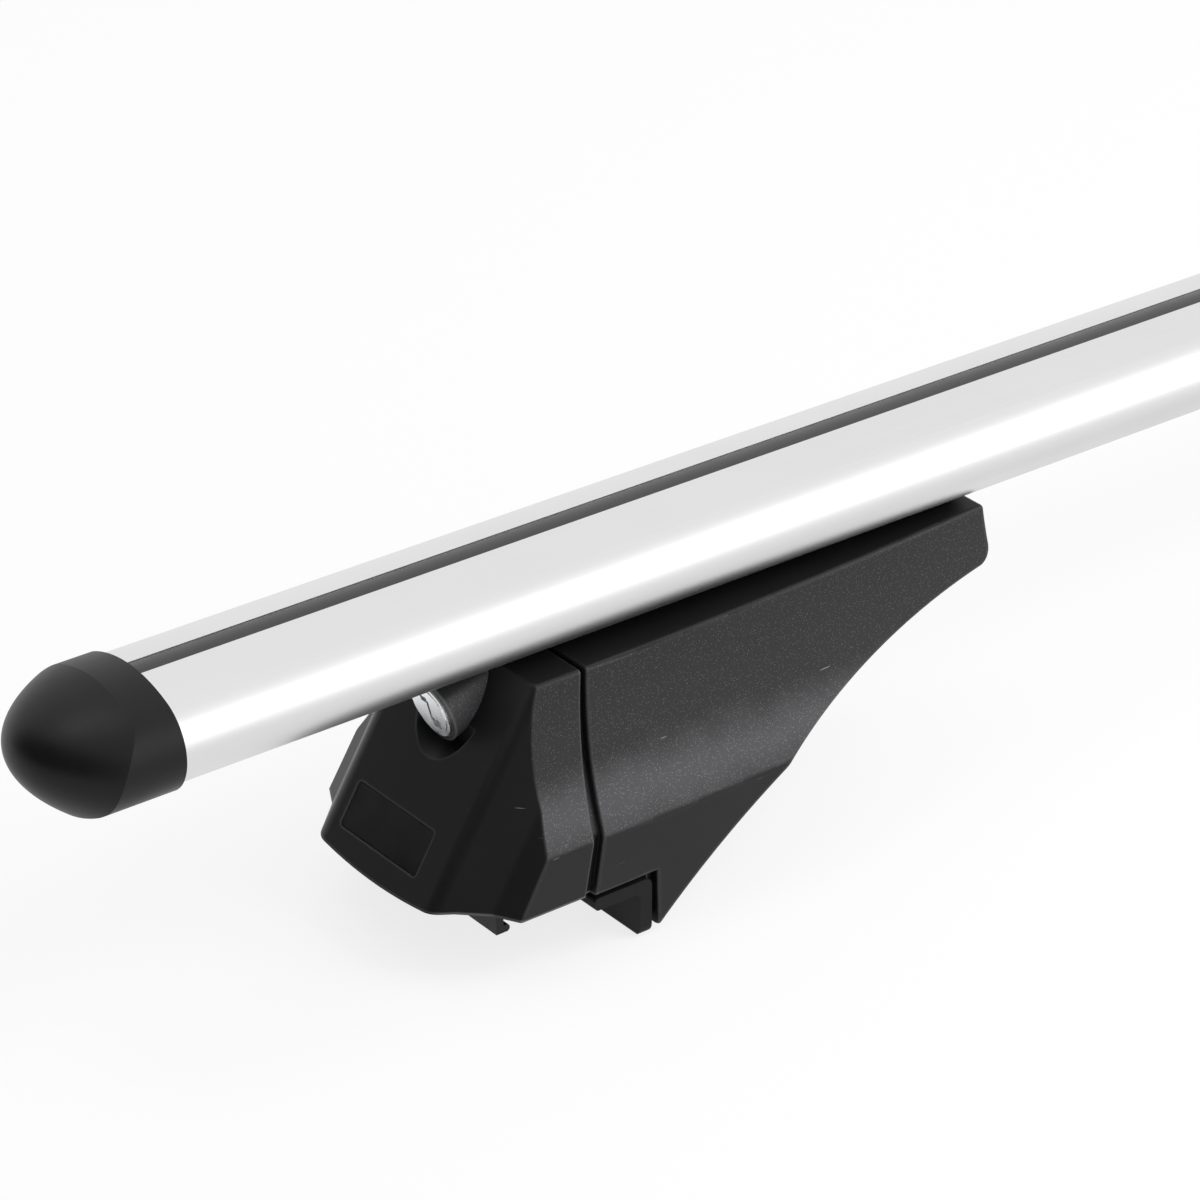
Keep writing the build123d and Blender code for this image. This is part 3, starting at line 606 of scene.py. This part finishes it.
        # Painted sheen: the grain's crests are paler in a band above the belly and on the boss,
        # standing in for light that catches them.
        band = self.painted_sheen(tree, place)
        open_grain = add_node(
            tree,
            "ShaderNodeMapRange",
            {"Value": eroded, "From Min": self.off_flank, "To Max": self.grain_share},
        )
        pale = add_node(
            tree,
            "ShaderNodeMath",
            {0: open_grain.outputs["Result"], 1: band},
            operation="MULTIPLY",
        )
        grained = add_node(
            tree,
            "ShaderNodeMix",
            {
                MIX_SHARE: pale.outputs["Value"],
                MIX_FROM: tone.outputs[MIX_RESULT],
                MIX_TO: linear(self.grain_sheen_colour),
            },
            data_type="RGBA",
        )
        # Painted glints on the grain's crests.
        crest = add_node(
            tree,
            "ShaderNodeMath",
            {0: self.painted_glints(tree, place), 1: open_grain.outputs["Result"]},
            operation="MULTIPLY",
        )
        # The painted sheen also brightens the painted glints, down to speck_floor outside it.
        lit = add_node(
            tree,
            "ShaderNodeMath",
            {0: band, 1: 1 - self.speck_floor, 2: self.speck_floor},
            operation="MULTIPLY_ADD",
        )
        bright = add_node(
            tree,
            "ShaderNodeMath",
            {0: crest.outputs["Value"], 1: lit.outputs["Value"]},
            operation="MULTIPLY",
        )
        # The painted glints and the real scratches share one pale colour.
        glints_and_scratches = add_node(
            tree,
            "ShaderNodeMath",
            {0: bright.outputs["Value"], 1: self.scratches(tree, place)},
            operation="MAXIMUM",
        )
        specked = add_node(
            tree,
            "ShaderNodeMix",
            {
                MIX_SHARE: glints_and_scratches.outputs["Value"],
                MIX_FROM: grained.outputs[MIX_RESULT],
                MIX_TO: linear(self.glint_colour),
            },
            data_type="RGBA",
        )
        # Pale edges: partly rub wear, partly a painted highlight along the edges.
        edged = add_node(
            tree,
            "ShaderNodeMix",
            {
                MIX_SHARE: self.edge_wear_and_highlights(tree),
                MIX_FROM: specked.outputs[MIX_RESULT],
                MIX_TO: linear(self.worn_edge_highlight_colour),
            },
            data_type="RGBA",
        )
        rough = add_node(
            tree,
            "ShaderNodeMapRange",
            {
                "Value": eroded,
                "From Min": self.off_flank,
                "To Min": self.smooth_roughness,
                "To Max": self.grain_roughness,
            },
        )
        depth = add_node(
            tree,
            "ShaderNodeMath",
            {0: grain.outputs["Fac"], 1: eroded},
            operation="MULTIPLY",
        )
        bump = add_node(
            tree,
            "ShaderNodeBump",
            {
                "Strength": self.grain_strength,
                "Distance": self.grain_depth_mm * MM,
                "Height": depth.outputs["Value"],
            },
        )
        tree.links.new(edged.outputs[MIX_RESULT], shader.inputs["Base Color"])
        tree.links.new(rough.outputs["Result"], shader.inputs["Roughness"])
        tree.links.new(bump.outputs["Normal"], shader.inputs["Normal"])
        shader.inputs["Specular IOR Level"].default_value = self.specular


@dataclass(frozen=True)
class SatinPolymer(Finish):
    """Black rubber or smooth moulded plastic: satin to dull, cloudy, with a soft fine skin."""

    roughness: float = 0.6
    skin_mm: float = 0.8
    cloud_mm: float = 16.0
    cloud_colour: str = "#2c2c2d"
    skin_depth_mm: float = 0.02
    skin_strength: float = 0.4
    gloss_drift: float = 0.05
    specular: float = 0.4

    def draw(
        self, tree: bpy.types.NodeTree, shader: bpy.types.Node, place: bpy.types.NodeSocket
    ) -> None:
        """Cloud the tone and give the skin a faint pebble.

        Args:
            tree: The material's tree.
            shader: Its Principled shader.
            place: Object coordinates, in metres.
        """
        shader.inputs["Specular IOR Level"].default_value = self.specular
        cloud = add_node(
            tree,
            "ShaderNodeTexNoise",
            {"Vector": place, "Scale": per_mm(self.cloud_mm), "Detail": 4.0},
        )
        skin = add_node(
            tree,
            "ShaderNodeTexNoise",
            {"Vector": place, "Scale": per_mm(self.skin_mm), "Detail": 2.0},
        )
        tone = add_node(
            tree,
            "ShaderNodeMix",
            {
                MIX_SHARE: cloud.outputs["Fac"],
                MIX_FROM: linear(self.colour),
                MIX_TO: linear(self.cloud_colour),
            },
            data_type="RGBA",
        )
        rough = add_node(
            tree,
            "ShaderNodeMapRange",
            {
                "Value": cloud.outputs["Fac"],
                "From Min": NOISE_LOW,
                "From Max": NOISE_HIGH,
                "To Min": self.roughness - self.gloss_drift,
                "To Max": self.roughness + self.gloss_drift,
            },
        )
        bump = add_node(
            tree,
            "ShaderNodeBump",
            {
                "Strength": self.skin_strength,
                "Distance": self.skin_depth_mm * MM,
                "Height": skin.outputs["Fac"],
            },
        )
        tree.links.new(tone.outputs[MIX_RESULT], shader.inputs["Base Color"])
        tree.links.new(rough.outputs["Result"], shader.inputs["Roughness"])
        tree.links.new(bump.outputs["Normal"], shader.inputs["Normal"])


@dataclass(frozen=True)
class PlatedMetal(Finish):
    """Plated metal: a bright skin over turned, cast or pressed steel, with cloudy roughness."""

    roughness: float = 0.15
    cloud_mm: float = 6.0
    cloud_colour: str = "#b8bcc0"
    gloss_low: float = 0.8
    gloss_high: float = 1.3

    def draw(
        self, tree: bpy.types.NodeTree, shader: bpy.types.Node, place: bpy.types.NodeSocket
    ) -> None:
        """Cloud the plating's tone and gloss.

        Args:
            tree: The material's tree.
            shader: Its Principled shader.
            place: Object coordinates, in metres.
        """
        cloud = add_node(
            tree,
            "ShaderNodeTexNoise",
            {"Vector": place, "Scale": per_mm(self.cloud_mm), "Detail": 3.0},
        )
        tone = add_node(
            tree,
            "ShaderNodeMix",
            {
                MIX_SHARE: cloud.outputs["Fac"],
                MIX_FROM: linear(self.colour),
                MIX_TO: linear(self.cloud_colour),
            },
            data_type="RGBA",
        )
        rough = add_node(
            tree,
            "ShaderNodeMapRange",
            {
                "Value": cloud.outputs["Fac"],
                "From Min": NOISE_LOW,
                "From Max": NOISE_HIGH,
                "To Min": self.roughness * self.gloss_low,
                "To Max": self.roughness * self.gloss_high,
            },
        )
        tree.links.new(tone.outputs[MIX_RESULT], shader.inputs["Base Color"])
        tree.links.new(rough.outputs["Result"], shader.inputs["Roughness"])
        shader.inputs["Metallic"].default_value = 1.0


@dataclass(frozen=True)
class CoatedSteel(Finish):
    """Pressed steel under a black powder coat: satin, with a slight orange peel."""

    roughness: float = 0.5
    peel_mm: float = 1.6
    peel_depth_mm: float = 0.03
    peel_strength: float = 0.3
    thick_colour: str = "#1a1a1b"
    gloss_drift: float = 0.08
    specular: float = 0.25

    def draw(
        self, tree: bpy.types.NodeTree, shader: bpy.types.Node, place: bpy.types.NodeSocket
    ) -> None:
        """Ripple the coat and let its gloss drift.

        Args:
            tree: The material's tree.
            shader: Its Principled shader.
            place: Object coordinates, in metres.
        """
        shader.inputs["Specular IOR Level"].default_value = self.specular
        peel = add_node(
            tree,
            "ShaderNodeTexNoise",
            {"Vector": place, "Scale": per_mm(self.peel_mm), "Detail": 2.0},
        )
        rough = add_node(
            tree,
            "ShaderNodeMapRange",
            {
                "Value": peel.outputs["Fac"],
                "To Min": self.roughness - self.gloss_drift,
                "To Max": self.roughness + self.gloss_drift,
            },
        )
        tone = add_node(
            tree,
            "ShaderNodeMix",
            {
                MIX_SHARE: peel.outputs["Fac"],
                MIX_FROM: linear(self.colour),
                MIX_TO: linear(self.thick_colour),
            },
            data_type="RGBA",
        )
        bump = add_node(
            tree,
            "ShaderNodeBump",
            {
                "Strength": self.peel_strength,
                "Distance": self.peel_depth_mm * MM,
                "Height": peel.outputs["Fac"],
            },
        )
        tree.links.new(tone.outputs[MIX_RESULT], shader.inputs["Base Color"])
        tree.links.new(rough.outputs["Result"], shader.inputs["Roughness"])
        tree.links.new(bump.outputs["Normal"], shader.inputs["Normal"])


@dataclass(frozen=True)
class Finishes:
    """Every finish on the crossbar, one for each kind of piece."""

    # An even pale grey that turns white where the long softbox is mirrored in the bar's side.
    bar: Finish = AnodisedAluminium("satin_anodised_aluminium", "#e2e2e2")
    # Dark grey with a long pale sheen where the crowned strip is seen at a low angle.
    strip: Finish = SatinPolymer(
        "extruded_epdm_rubber", "#2a2a2c", roughness=0.28, cloud_colour="#303032"
    )
    # Near black with one broad soft sheen over the dome.
    cap: Finish = SatinPolymer(
        "moulded_polypropylene",
        "#101011",
        roughness=0.42,
        cloud_mm=22.0,
        cloud_colour="#171718",
        specular=0.22,
    )
    # Black faces, dark grey flanks speckled with painted glints and a band of painted sheen, and
    # pale lines along the edges that are partly wear and partly painted highlight.
    foot: Finish = MouldedPlastic("grained_black_nylon", "#121213")
    # A plain black plate, a little glossier than the cover round it.
    plate: Finish = SatinPolymer(
        "smooth_moulded_abs",
        "#121213",
        roughness=0.3,
        cloud_mm=30.0,
        cloud_colour="#18181a",
        skin_depth_mm=0.005,
    )
    # The only bright spot on the foot: a soft, nearly white metal around the black keyway.
    lock: Finish = PlatedMetal(
        "bright_chrome_plate", "#f8f9fa", roughness=0.3, cloud_colour="#eef0f2"
    )
    # Cloudy light grey steel that stands out in the dark housing once the cover is off.
    zinc: Finish = PlatedMetal("zinc_plated_steel", "#c4c7c6", roughness=0.34)
    # Black steel with a thin sheen on its bends and lip.
    claw: Finish = CoatedSteel("black_powder_coated_steel", "#0f0f10")
    # Dull black rubber that shows no highlight.
    pad: Finish = SatinPolymer(
        "moulded_epdm_rubber", "#161617", roughness=0.62, cloud_colour="#1f1f20", specular=0.14
    )


def dress(nodes: dict[str, bpy.types.Object], name: str, material: bpy.types.Material) -> None:
    """Give one piece of the frame its finish.

    Args:
        nodes: The frame's pieces by name.
        name: The piece.
        material: Its finish.
    """
    piece = nodes[name]
    piece.data.materials.clear()
    piece.data.materials.append(material)
    LOG.info("dressed %s in %s", name, material.name)


@dataclass
class CrossBar:
    """The oval bar with the strip in its top slot and a cap on each end."""

    finishes: Finishes

    def dress(self, nodes: dict[str, bpy.types.Object]) -> None:
        """Give the bar, its strip and its caps their finishes.

        Args:
            nodes: The frame's pieces by name.
        """
        dress(nodes, "bar_extrusion", self.finishes.bar.make())
        dress(nodes, "slot_strip", self.finishes.strip.make())
        cap = self.finishes.cap.make()
        for side in Side:
            dress(nodes, f"end_cap_{side.value}", cap)


@dataclass
class ClampFeet:
    """Both clamp feet: moulded housings and covers, and the steel that clamps a rail."""

    finishes: Finishes
    moulded: tuple[str, ...] = ("foot_housing", "end_cover")
    zinc_plated: tuple[str, ...] = (
        "foot_bracket",
        "clamp_washer",
        "clamp_nut",
        "bar_washers",
        "bar_nuts",
    )

    def dress(self, nodes: dict[str, bpy.types.Object]) -> None:
        """Give every piece of both feet its finish.

        Args:
            nodes: The frame's pieces by name.
        """
        foot, zinc = self.finishes.foot.make(), self.finishes.zinc.make()
        single = {
            "name_plate": self.finishes.plate.make(),
            "rail_claw": self.finishes.claw.make(),
            "jaw_pad": self.finishes.pad.make(),
        }
        for side in Side:
            for name in self.moulded:
                dress(nodes, f"{name}_{side.value}", foot)
            for name in self.zinc_plated:
                dress(nodes, f"{name}_{side.value}", zinc)
            for name, material in single.items():
                dress(nodes, f"{name}_{side.value}", material)


@dataclass
class ThreadedBolts:
    """The M8 bolts of both feet, with ridged threads and chamfered heads.

    A thread is drawn as rings at its real pitch. Each bolt is modelled upright on its tail and
    then laid where its plain CAD bolt is.
    """

    finishes: Finishes
    pitch_mm: float = 1.25
    crest_mm: float = 4.0
    root_mm: float = 3.4
    across_mm: float = 13.0
    rim_mm: float = 0.8
    rim_segments: int = 2
    segments: int = 28
    hex_height_mm: float = 5.3
    square_height_mm: float = 5.0
    # Points closer than this count as being in one place.
    near_mm: float = 0.01
    head_overlap_turns: float = 0.5
    smooth_deg: float = 30.0

    def cut_thread(self, turns: int) -> bpy.types.Object:
        """Model one ridge of the thread, repeat it at the pitch and close both ends.

        Args:
            turns: How many pitches long the thread is.

        Returns:
            The threaded shank, standing on the origin.
        """
        pitch = self.pitch_mm * MM
        bpy.ops.object.select_all(action="DESELECT")
        bpy.ops.mesh.primitive_cylinder_add(
            vertices=self.segments,
            radius=self.root_mm * MM,
            depth=pitch,
            end_fill_type="NOTHING",
            location=(0.0, 0.0, pitch / 2),
        )
        shank = bpy.context.active_object
        bpy.ops.object.transform_apply(location=True, rotation=True, scale=True)
        bpy.ops.object.mode_set(mode="EDIT")
        mesh = bmesh.from_edit_mesh(shank.data)
        for edge in mesh.edges:
            edge.select_set(abs(edge.verts[0].co.z - edge.verts[1].co.z) > pitch / 2)
        bmesh.update_edit_mesh(shank.data)
        bpy.ops.mesh.subdivide(number_cuts=1)
        mesh = bmesh.from_edit_mesh(shank.data)
        for vertex in mesh.verts:
            vertex.select_set(abs(vertex.co.z - pitch / 2) < self.near_mm * MM)
        mesh.select_flush_mode()
        bmesh.update_edit_mesh(shank.data)
        out = self.crest_mm / self.root_mm
        bpy.ops.transform.resize(value=(out, out, 1.0), center_override=(0.0, 0.0, pitch / 2))
        bpy.ops.object.mode_set(mode="OBJECT")
        repeat = shank.modifiers.new("turns", "ARRAY")
        repeat.count = turns
        repeat.use_relative_offset = False
        repeat.use_constant_offset = True
        repeat.constant_offset_displace = (0.0, 0.0, pitch)
        repeat.use_merge_vertices = True
        repeat.merge_threshold = self.near_mm * MM
        bpy.ops.object.modifier_apply(modifier=repeat.name)
        bpy.ops.object.mode_set(mode="EDIT")
        bpy.ops.mesh.select_all(action="SELECT")
        bpy.ops.mesh.fill_holes(sides=0)
        bpy.ops.mesh.select_all(action="SELECT")
        bpy.ops.mesh.normals_make_consistent(inside=False)
        bpy.ops.object.mode_set(mode="OBJECT")
        return shank

    def forge_head(self, head: Head, bottom: float, height: float) -> bpy.types.Object:
        """Model a head with a chamfered rim.

        Args:
            head: How many sides it has.
            bottom: The height that it starts at.
            height: How tall it is.

        Returns:
            The head, standing upright.
        """
        corner = self.across_mm * MM / 2 / math.cos(math.pi / head.value)
        turn = math.pi / head.value if head is Head.SQUARE else 0.0
        bpy.ops.object.select_all(action="DESELECT")
        bpy.ops.mesh.primitive_cylinder_add(
            vertices=head.value,
            radius=corner,
            depth=height,
            location=(0.0, 0.0, bottom + height / 2),
            rotation=(0.0, 0.0, turn),
        )
        forged = bpy.context.active_object
        bpy.ops.object.transform_apply(location=True, rotation=True, scale=True)
        bpy.ops.object.mode_set(mode="EDIT")
        mesh = bmesh.from_edit_mesh(forged.data)
        top = bottom + height - self.near_mm * MM
        for edge in mesh.edges:
            edge.select_set(all(vertex.co.z > top for vertex in edge.verts))
        bmesh.update_edit_mesh(forged.data)
        bpy.ops.mesh.bevel(offset=self.rim_mm * MM, segments=self.rim_segments, affect="EDGES")
        bpy.ops.object.mode_set(mode="OBJECT")
        return forged

    def make_bolt(self, head: Head, length: float, height: float) -> bpy.types.Object:
        """Join a thread and a head into one closed bolt.

        Args:
            head: The kind of head.
            length: The bolt's whole length.
            height: The head's share of it.

        Returns:
            The bolt, standing on its tail at the origin.
        """
        shank = length - height
        turns = math.ceil(shank / (self.pitch_mm * MM) + self.head_overlap_turns)
        thread = self.cut_thread(turns)
        bolt = self.forge_head(head, shank, height)
        union = bolt.modifiers.new("union", "BOOLEAN")
        union.operation = "UNION"
        union.solver = "EXACT"
        union.object = thread
        bpy.ops.object.modifier_apply(modifier=union.name)
        bpy.data.objects.remove(thread, do_unlink=True)
        bpy.ops.object.shade_smooth_by_angle(angle=math.radians(self.smooth_deg))
        return bolt

    def lay(
        self, bolt: bpy.types.Object, tail: tuple[float, float, float], turn_deg: float
    ) -> None:
        """Turn a bolt about the cross axis and put its tail in place, all in its mesh.

        Args:
            bolt: The bolt, standing on its tail at the origin.
            tail: Where its tail goes.
            turn_deg: How far it leans over.
        """
        bpy.ops.object.select_all(action="DESELECT")
        bolt.select_set(True)
        bpy.context.view_layer.objects.active = bolt
        bolt.rotation_euler = (0.0, math.radians(turn_deg), 0.0)
        bolt.location = tail
        bpy.ops.object.transform_apply(location=True, rotation=True, scale=True)

    def stand_in(self, bolt: bpy.types.Object, node: str, body: str) -> None:
        """Name a bolt, let it ride on its body and show it for its CAD node.

        Args:
            bolt: The finished bolt.
            node: The CAD node that it replaces.
            body: The body that it moves with.
        """
        bolt.name = f"{node}_threaded"
        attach(bolt, body)
        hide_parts(node)
        LOG.info("threaded %s", node)

    def clamp_bolt(self, side: Side, zinc: bpy.types.Material) -> None:
        """Make the hex bolt that pulls the claw in; its head is towards the bar's end.

        Args:
            side: The foot that it belongs to.
            zinc: Its finish.
        """
        node = f"clamp_bolt_{side.value}"
        low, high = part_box(node)
        bolt = self.make_bolt(Head.HEX, high.x - low.x, self.hex_height_mm * MM)
        at_left = side is Side.LEFT
        tail = (high.x if at_left else low.x, (low.y + high.y) / 2, (low.z + high.z) / 2)
        self.lay(bolt, tail, -90 if at_left else 90)
        bolt.data.materials.append(zinc)
        self.stand_in(bolt, node, f"screw_{side.value}")

    def bar_bolts(self, side: Side, zinc: bpy.types.Material) -> None:
        """Make the two square-headed bolts that hang from the bar's lower channel.

        Args:
            side: The foot that they belong to.
            zinc: Their finish.
        """
        node = f"bar_bolts_{side.value}"
        low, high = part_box(node)
        half_head = self.across_mm * MM / 2
        bolt = self.make_bolt(Head.SQUARE, high.z - low.z, self.square_height_mm * MM)
        twin = bolt.copy()
        twin.data = bolt.data.copy()
        bpy.context.scene.collection.objects.link(twin)
        self.lay(twin, (high.x - half_head, 0.0, low.z), 0.0)
        self.lay(bolt, (low.x + half_head, 0.0, low.z), 0.0)
        twin.select_set(True)
        bpy.ops.object.join()
        bolt.data.materials.append(zinc)
        self.stand_in(bolt, node, f"foot_{side.value}")

    def dress(self, nodes: dict[str, bpy.types.Object]) -> None:
        """Make every bolt and plate it with zinc; the CAD bolts behind get the same finish.

        Args:
            nodes: The frame's pieces by name.
        """
        zinc = self.finishes.zinc.make()
        for side in Side:
            dress(nodes, f"clamp_bolt_{side.value}", zinc)
            dress(nodes, f"bar_bolts_{side.value}", zinc)
            self.clamp_bolt(side, zinc)
            self.bar_bolts(side, zinc)


@dataclass
class CoverLocks:
    """The chrome lock in each cover, with its cam behind."""

    finishes: Finishes

    def dress(self, nodes: dict[str, bpy.types.Object]) -> None:
        """Give barrels and plugs their chrome and the cams their zinc.

        Args:
            nodes: The frame's pieces by name.
        """
        chrome, zinc = self.finishes.lock.make(), self.finishes.zinc.make()
        for side in Side:
            dress(nodes, f"lock_barrel_{side.value}", chrome)
            dress(nodes, f"lock_plug_{side.value}", chrome)
            dress(nodes, f"lock_cam_{side.value}", zinc)


@dataclass
class Lamp:
    """A softbox: where it hangs, what it points at, its size, power and mirror image."""

    name: str
    place: tuple[float, float, float]
    target: tuple[float, float, float]
    size: tuple[float, float]
    watts: float
    mirrored: bool = True

    def build(self) -> bpy.types.Object:
        """Hang the lamp.

        Returns:
            The new light object.
        """
        light = bpy.data.lights.new(self.name, "AREA")
        light.shape = "RECTANGLE"
        light.size, light.size_y = self.size
        light.energy = self.watts
        lamp = bpy.data.objects.new(self.name, light)
        bpy.context.scene.collection.objects.link(lamp)
        lamp.visible_glossy = self.mirrored
        lamp.location = self.place
        aim = Vector(self.target) - Vector(self.place)
        lamp.rotation_euler = aim.to_track_quat("-Z", "Y").to_euler()
        return lamp


@dataclass
class Studio:
    """A white studio: floor, surrounding light, softboxes and the camera."""

    # The floor shows white, with floor_shade of its own shading left in for the shadow.
    floor_size: float = 40.0
    floor_shade: float = 0.2
    floor_colour: str = "#f4f4f4"
    # How bright the surroundings are for scattered light.
    surround: float = 0.78
    flag_place: tuple[float, float, float] = (-2.0, 0.1, 0.85)
    flag_size: tuple[float, float] = (1.6, 4.6)
    flag_colour: str = "#101010"
    # The camera as it was fitted to the picture, which is frame_px wide.
    focal_px: float = 4900.0
    frame_px: float = 1200.0
    sensor_mm: float = 36.0
    eye: tuple[float, float, float] = (-1.2916, -1.1698, 0.8896)
    tilt_deg: float = 61.8
    turn_deg: float = -37.5
    clip_end: float = 50.0
    lamps: list[Lamp] = field(
        default_factory=lambda: [
            Lamp(
                "key_softbox",
                place=(0.41, -0.9, 1.4),
                target=(-0.4, 0.0, 0.07),
                size=(0.9, 0.9),
                watts=12.0,
                mirrored=False,
            ),
            Lamp(
                "front_softbox",
                place=(1.1, -1.47, 0.75),
                target=(-0.1, 0.0, 0.1),
                size=(2.5, 1.6),
                watts=16.5,
            ),
            Lamp(
                "top_softbox",
                place=(-1.0, 0.3, 1.9),
                target=(-0.4, 0.0, 0.1),
                size=(0.8, 0.8),
                watts=4.0,
            ),
        ]
    )

    def shown_white(self, tree: bpy.types.NodeTree, in_view: float) -> bpy.types.NodeSocket:
        """Find how white the studio shows: as asked in view, fully where it is mirrored.

        Args:
            tree: The floor's or the world's tree.
            in_view: The share for what the camera sees; under 1, a shadow stays.

        Returns:
            A value socket, 1 on mirrored or passed rays and 0 on scattered light.
        """
        path = add_node(tree, "ShaderNodeLightPath")
        seen = add_node(
            tree,
            "ShaderNodeMath",
            {0: path.outputs["Is Camera Ray"], 1: in_view},
            operation="MULTIPLY",
        )
        mirrored = add_node(
            tree,
            "ShaderNodeMath",
            {0: seen.outputs["Value"], 1: path.outputs["Is Glossy Ray"]},
            operation="MAXIMUM",
        )
        passed = add_node(
            tree,
            "ShaderNodeMath",
            {0: mirrored.outputs["Value"], 1: path.outputs["Is Transmission Ray"]},
            operation="MAXIMUM",
        )
        return passed.outputs["Value"]

    def build_floor(self) -> bpy.types.Object:
        """Lay the white floor, which stays white in view and keeps a soft shadow.

        Returns:
            The floor.
        """
        bpy.ops.object.select_all(action="DESELECT")
        bpy.ops.mesh.primitive_plane_add(size=self.floor_size, location=(0.0, 0.0, 0.0))
        floor = bpy.context.active_object
        floor.name = "studio_floor"
        material = blank_material("white_paper_floor")
        tree = material.node_tree
        paper = add_node(tree, "ShaderNodeBsdfDiffuse", {"Color": linear(self.floor_colour)})
        white = add_node(tree, "ShaderNodeEmission", {"Color": WHITE, "Strength": 1.0})
        shown = self.shown_white(tree, 1 - self.floor_shade)
        mixed = add_node(
            tree,
            "ShaderNodeMixShader",
            {0: shown, 1: paper.outputs["BSDF"], 2: white.outputs["Emission"]},
        )
        add_node(tree, "ShaderNodeOutputMaterial", {"Surface": mixed.outputs["Shader"]})
        floor.data.materials.append(material)
        return floor

    def build_flag(self) -> bpy.types.Object:
        """Stand a black card off the bar's near end, so that the faces towards it stay dark.

        Returns:
            The card, left out of view.
        """
        bpy.ops.object.select_all(action="DESELECT")
        bpy.ops.mesh.primitive_plane_add(size=1.0, location=self.flag_place)
        flag = bpy.context.active_object
        flag.name = "studio_flag"
        flag.scale = (*self.flag_size, 1.0)
        flag.rotation_euler = (0.0, math.radians(90), 0.0)
        material = blank_material("black_card")
        tree = material.node_tree
        card = add_node(tree, "ShaderNodeBsdfDiffuse", {"Color": linear(self.flag_colour)})
        add_node(tree, "ShaderNodeOutputMaterial", {"Surface": card.outputs["BSDF"]})
        flag.data.materials.append(material)
        flag.visible_camera = False
        return flag

    def build_world(self) -> None:
        """Surround the part with even light that shows white in view and where mirrored."""
        world = bpy.data.worlds.new("white_studio")
        bpy.context.scene.world = world
        world.use_nodes = True
        tree = world.node_tree
        tree.nodes.clear()
        strength = add_node(
            tree,
            "ShaderNodeMath",
            {0: self.shown_white(tree, 1.0), 1: 1 - self.surround, 2: self.surround},
            operation="MULTIPLY_ADD",
        )
        light = add_node(
            tree,
            "ShaderNodeBackground",
            {"Color": WHITE, "Strength": strength.outputs["Value"]},
        )
        add_node(tree, "ShaderNodeOutputWorld", {"Surface": light.outputs["Background"]})

    def build_camera(self) -> bpy.types.Object:
        """Stand the camera where the picture was taken.

        Returns:
            The scene's camera.
        """
        lens = bpy.data.cameras.new("camera")
        lens.sensor_width = self.sensor_mm
        lens.lens = self.sensor_mm * self.focal_px / self.frame_px
        lens.clip_end = self.clip_end
        camera = bpy.data.objects.new("camera", lens)
        bpy.context.scene.collection.objects.link(camera)
        camera.location = self.eye
        camera.rotation_euler = (math.radians(self.tilt_deg), 0.0, math.radians(self.turn_deg))
        bpy.context.scene.camera = camera
        return camera

    def build(self) -> None:
        """Set up floor, light, camera and plain colour."""
        self.build_floor()
        self.build_flag()
        self.build_world()
        for lamp in self.lamps:
            lamp.build()
        self.build_camera()
        bpy.context.scene.view_settings.view_transform = "Standard"


def main() -> None:
    """Load the frame, dress every piece and set up the studio."""
    logging.basicConfig(level=logging.INFO, format="%(message)s")
    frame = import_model()
    finishes = Finishes()
    for assembly in (
        CrossBar(finishes),
        ClampFeet(finishes),
        ThreadedBolts(finishes),
        CoverLocks(finishes),
    ):
        assembly.dress(frame["nodes"])
    Studio().build()


if __name__ == "__main__":
    main()
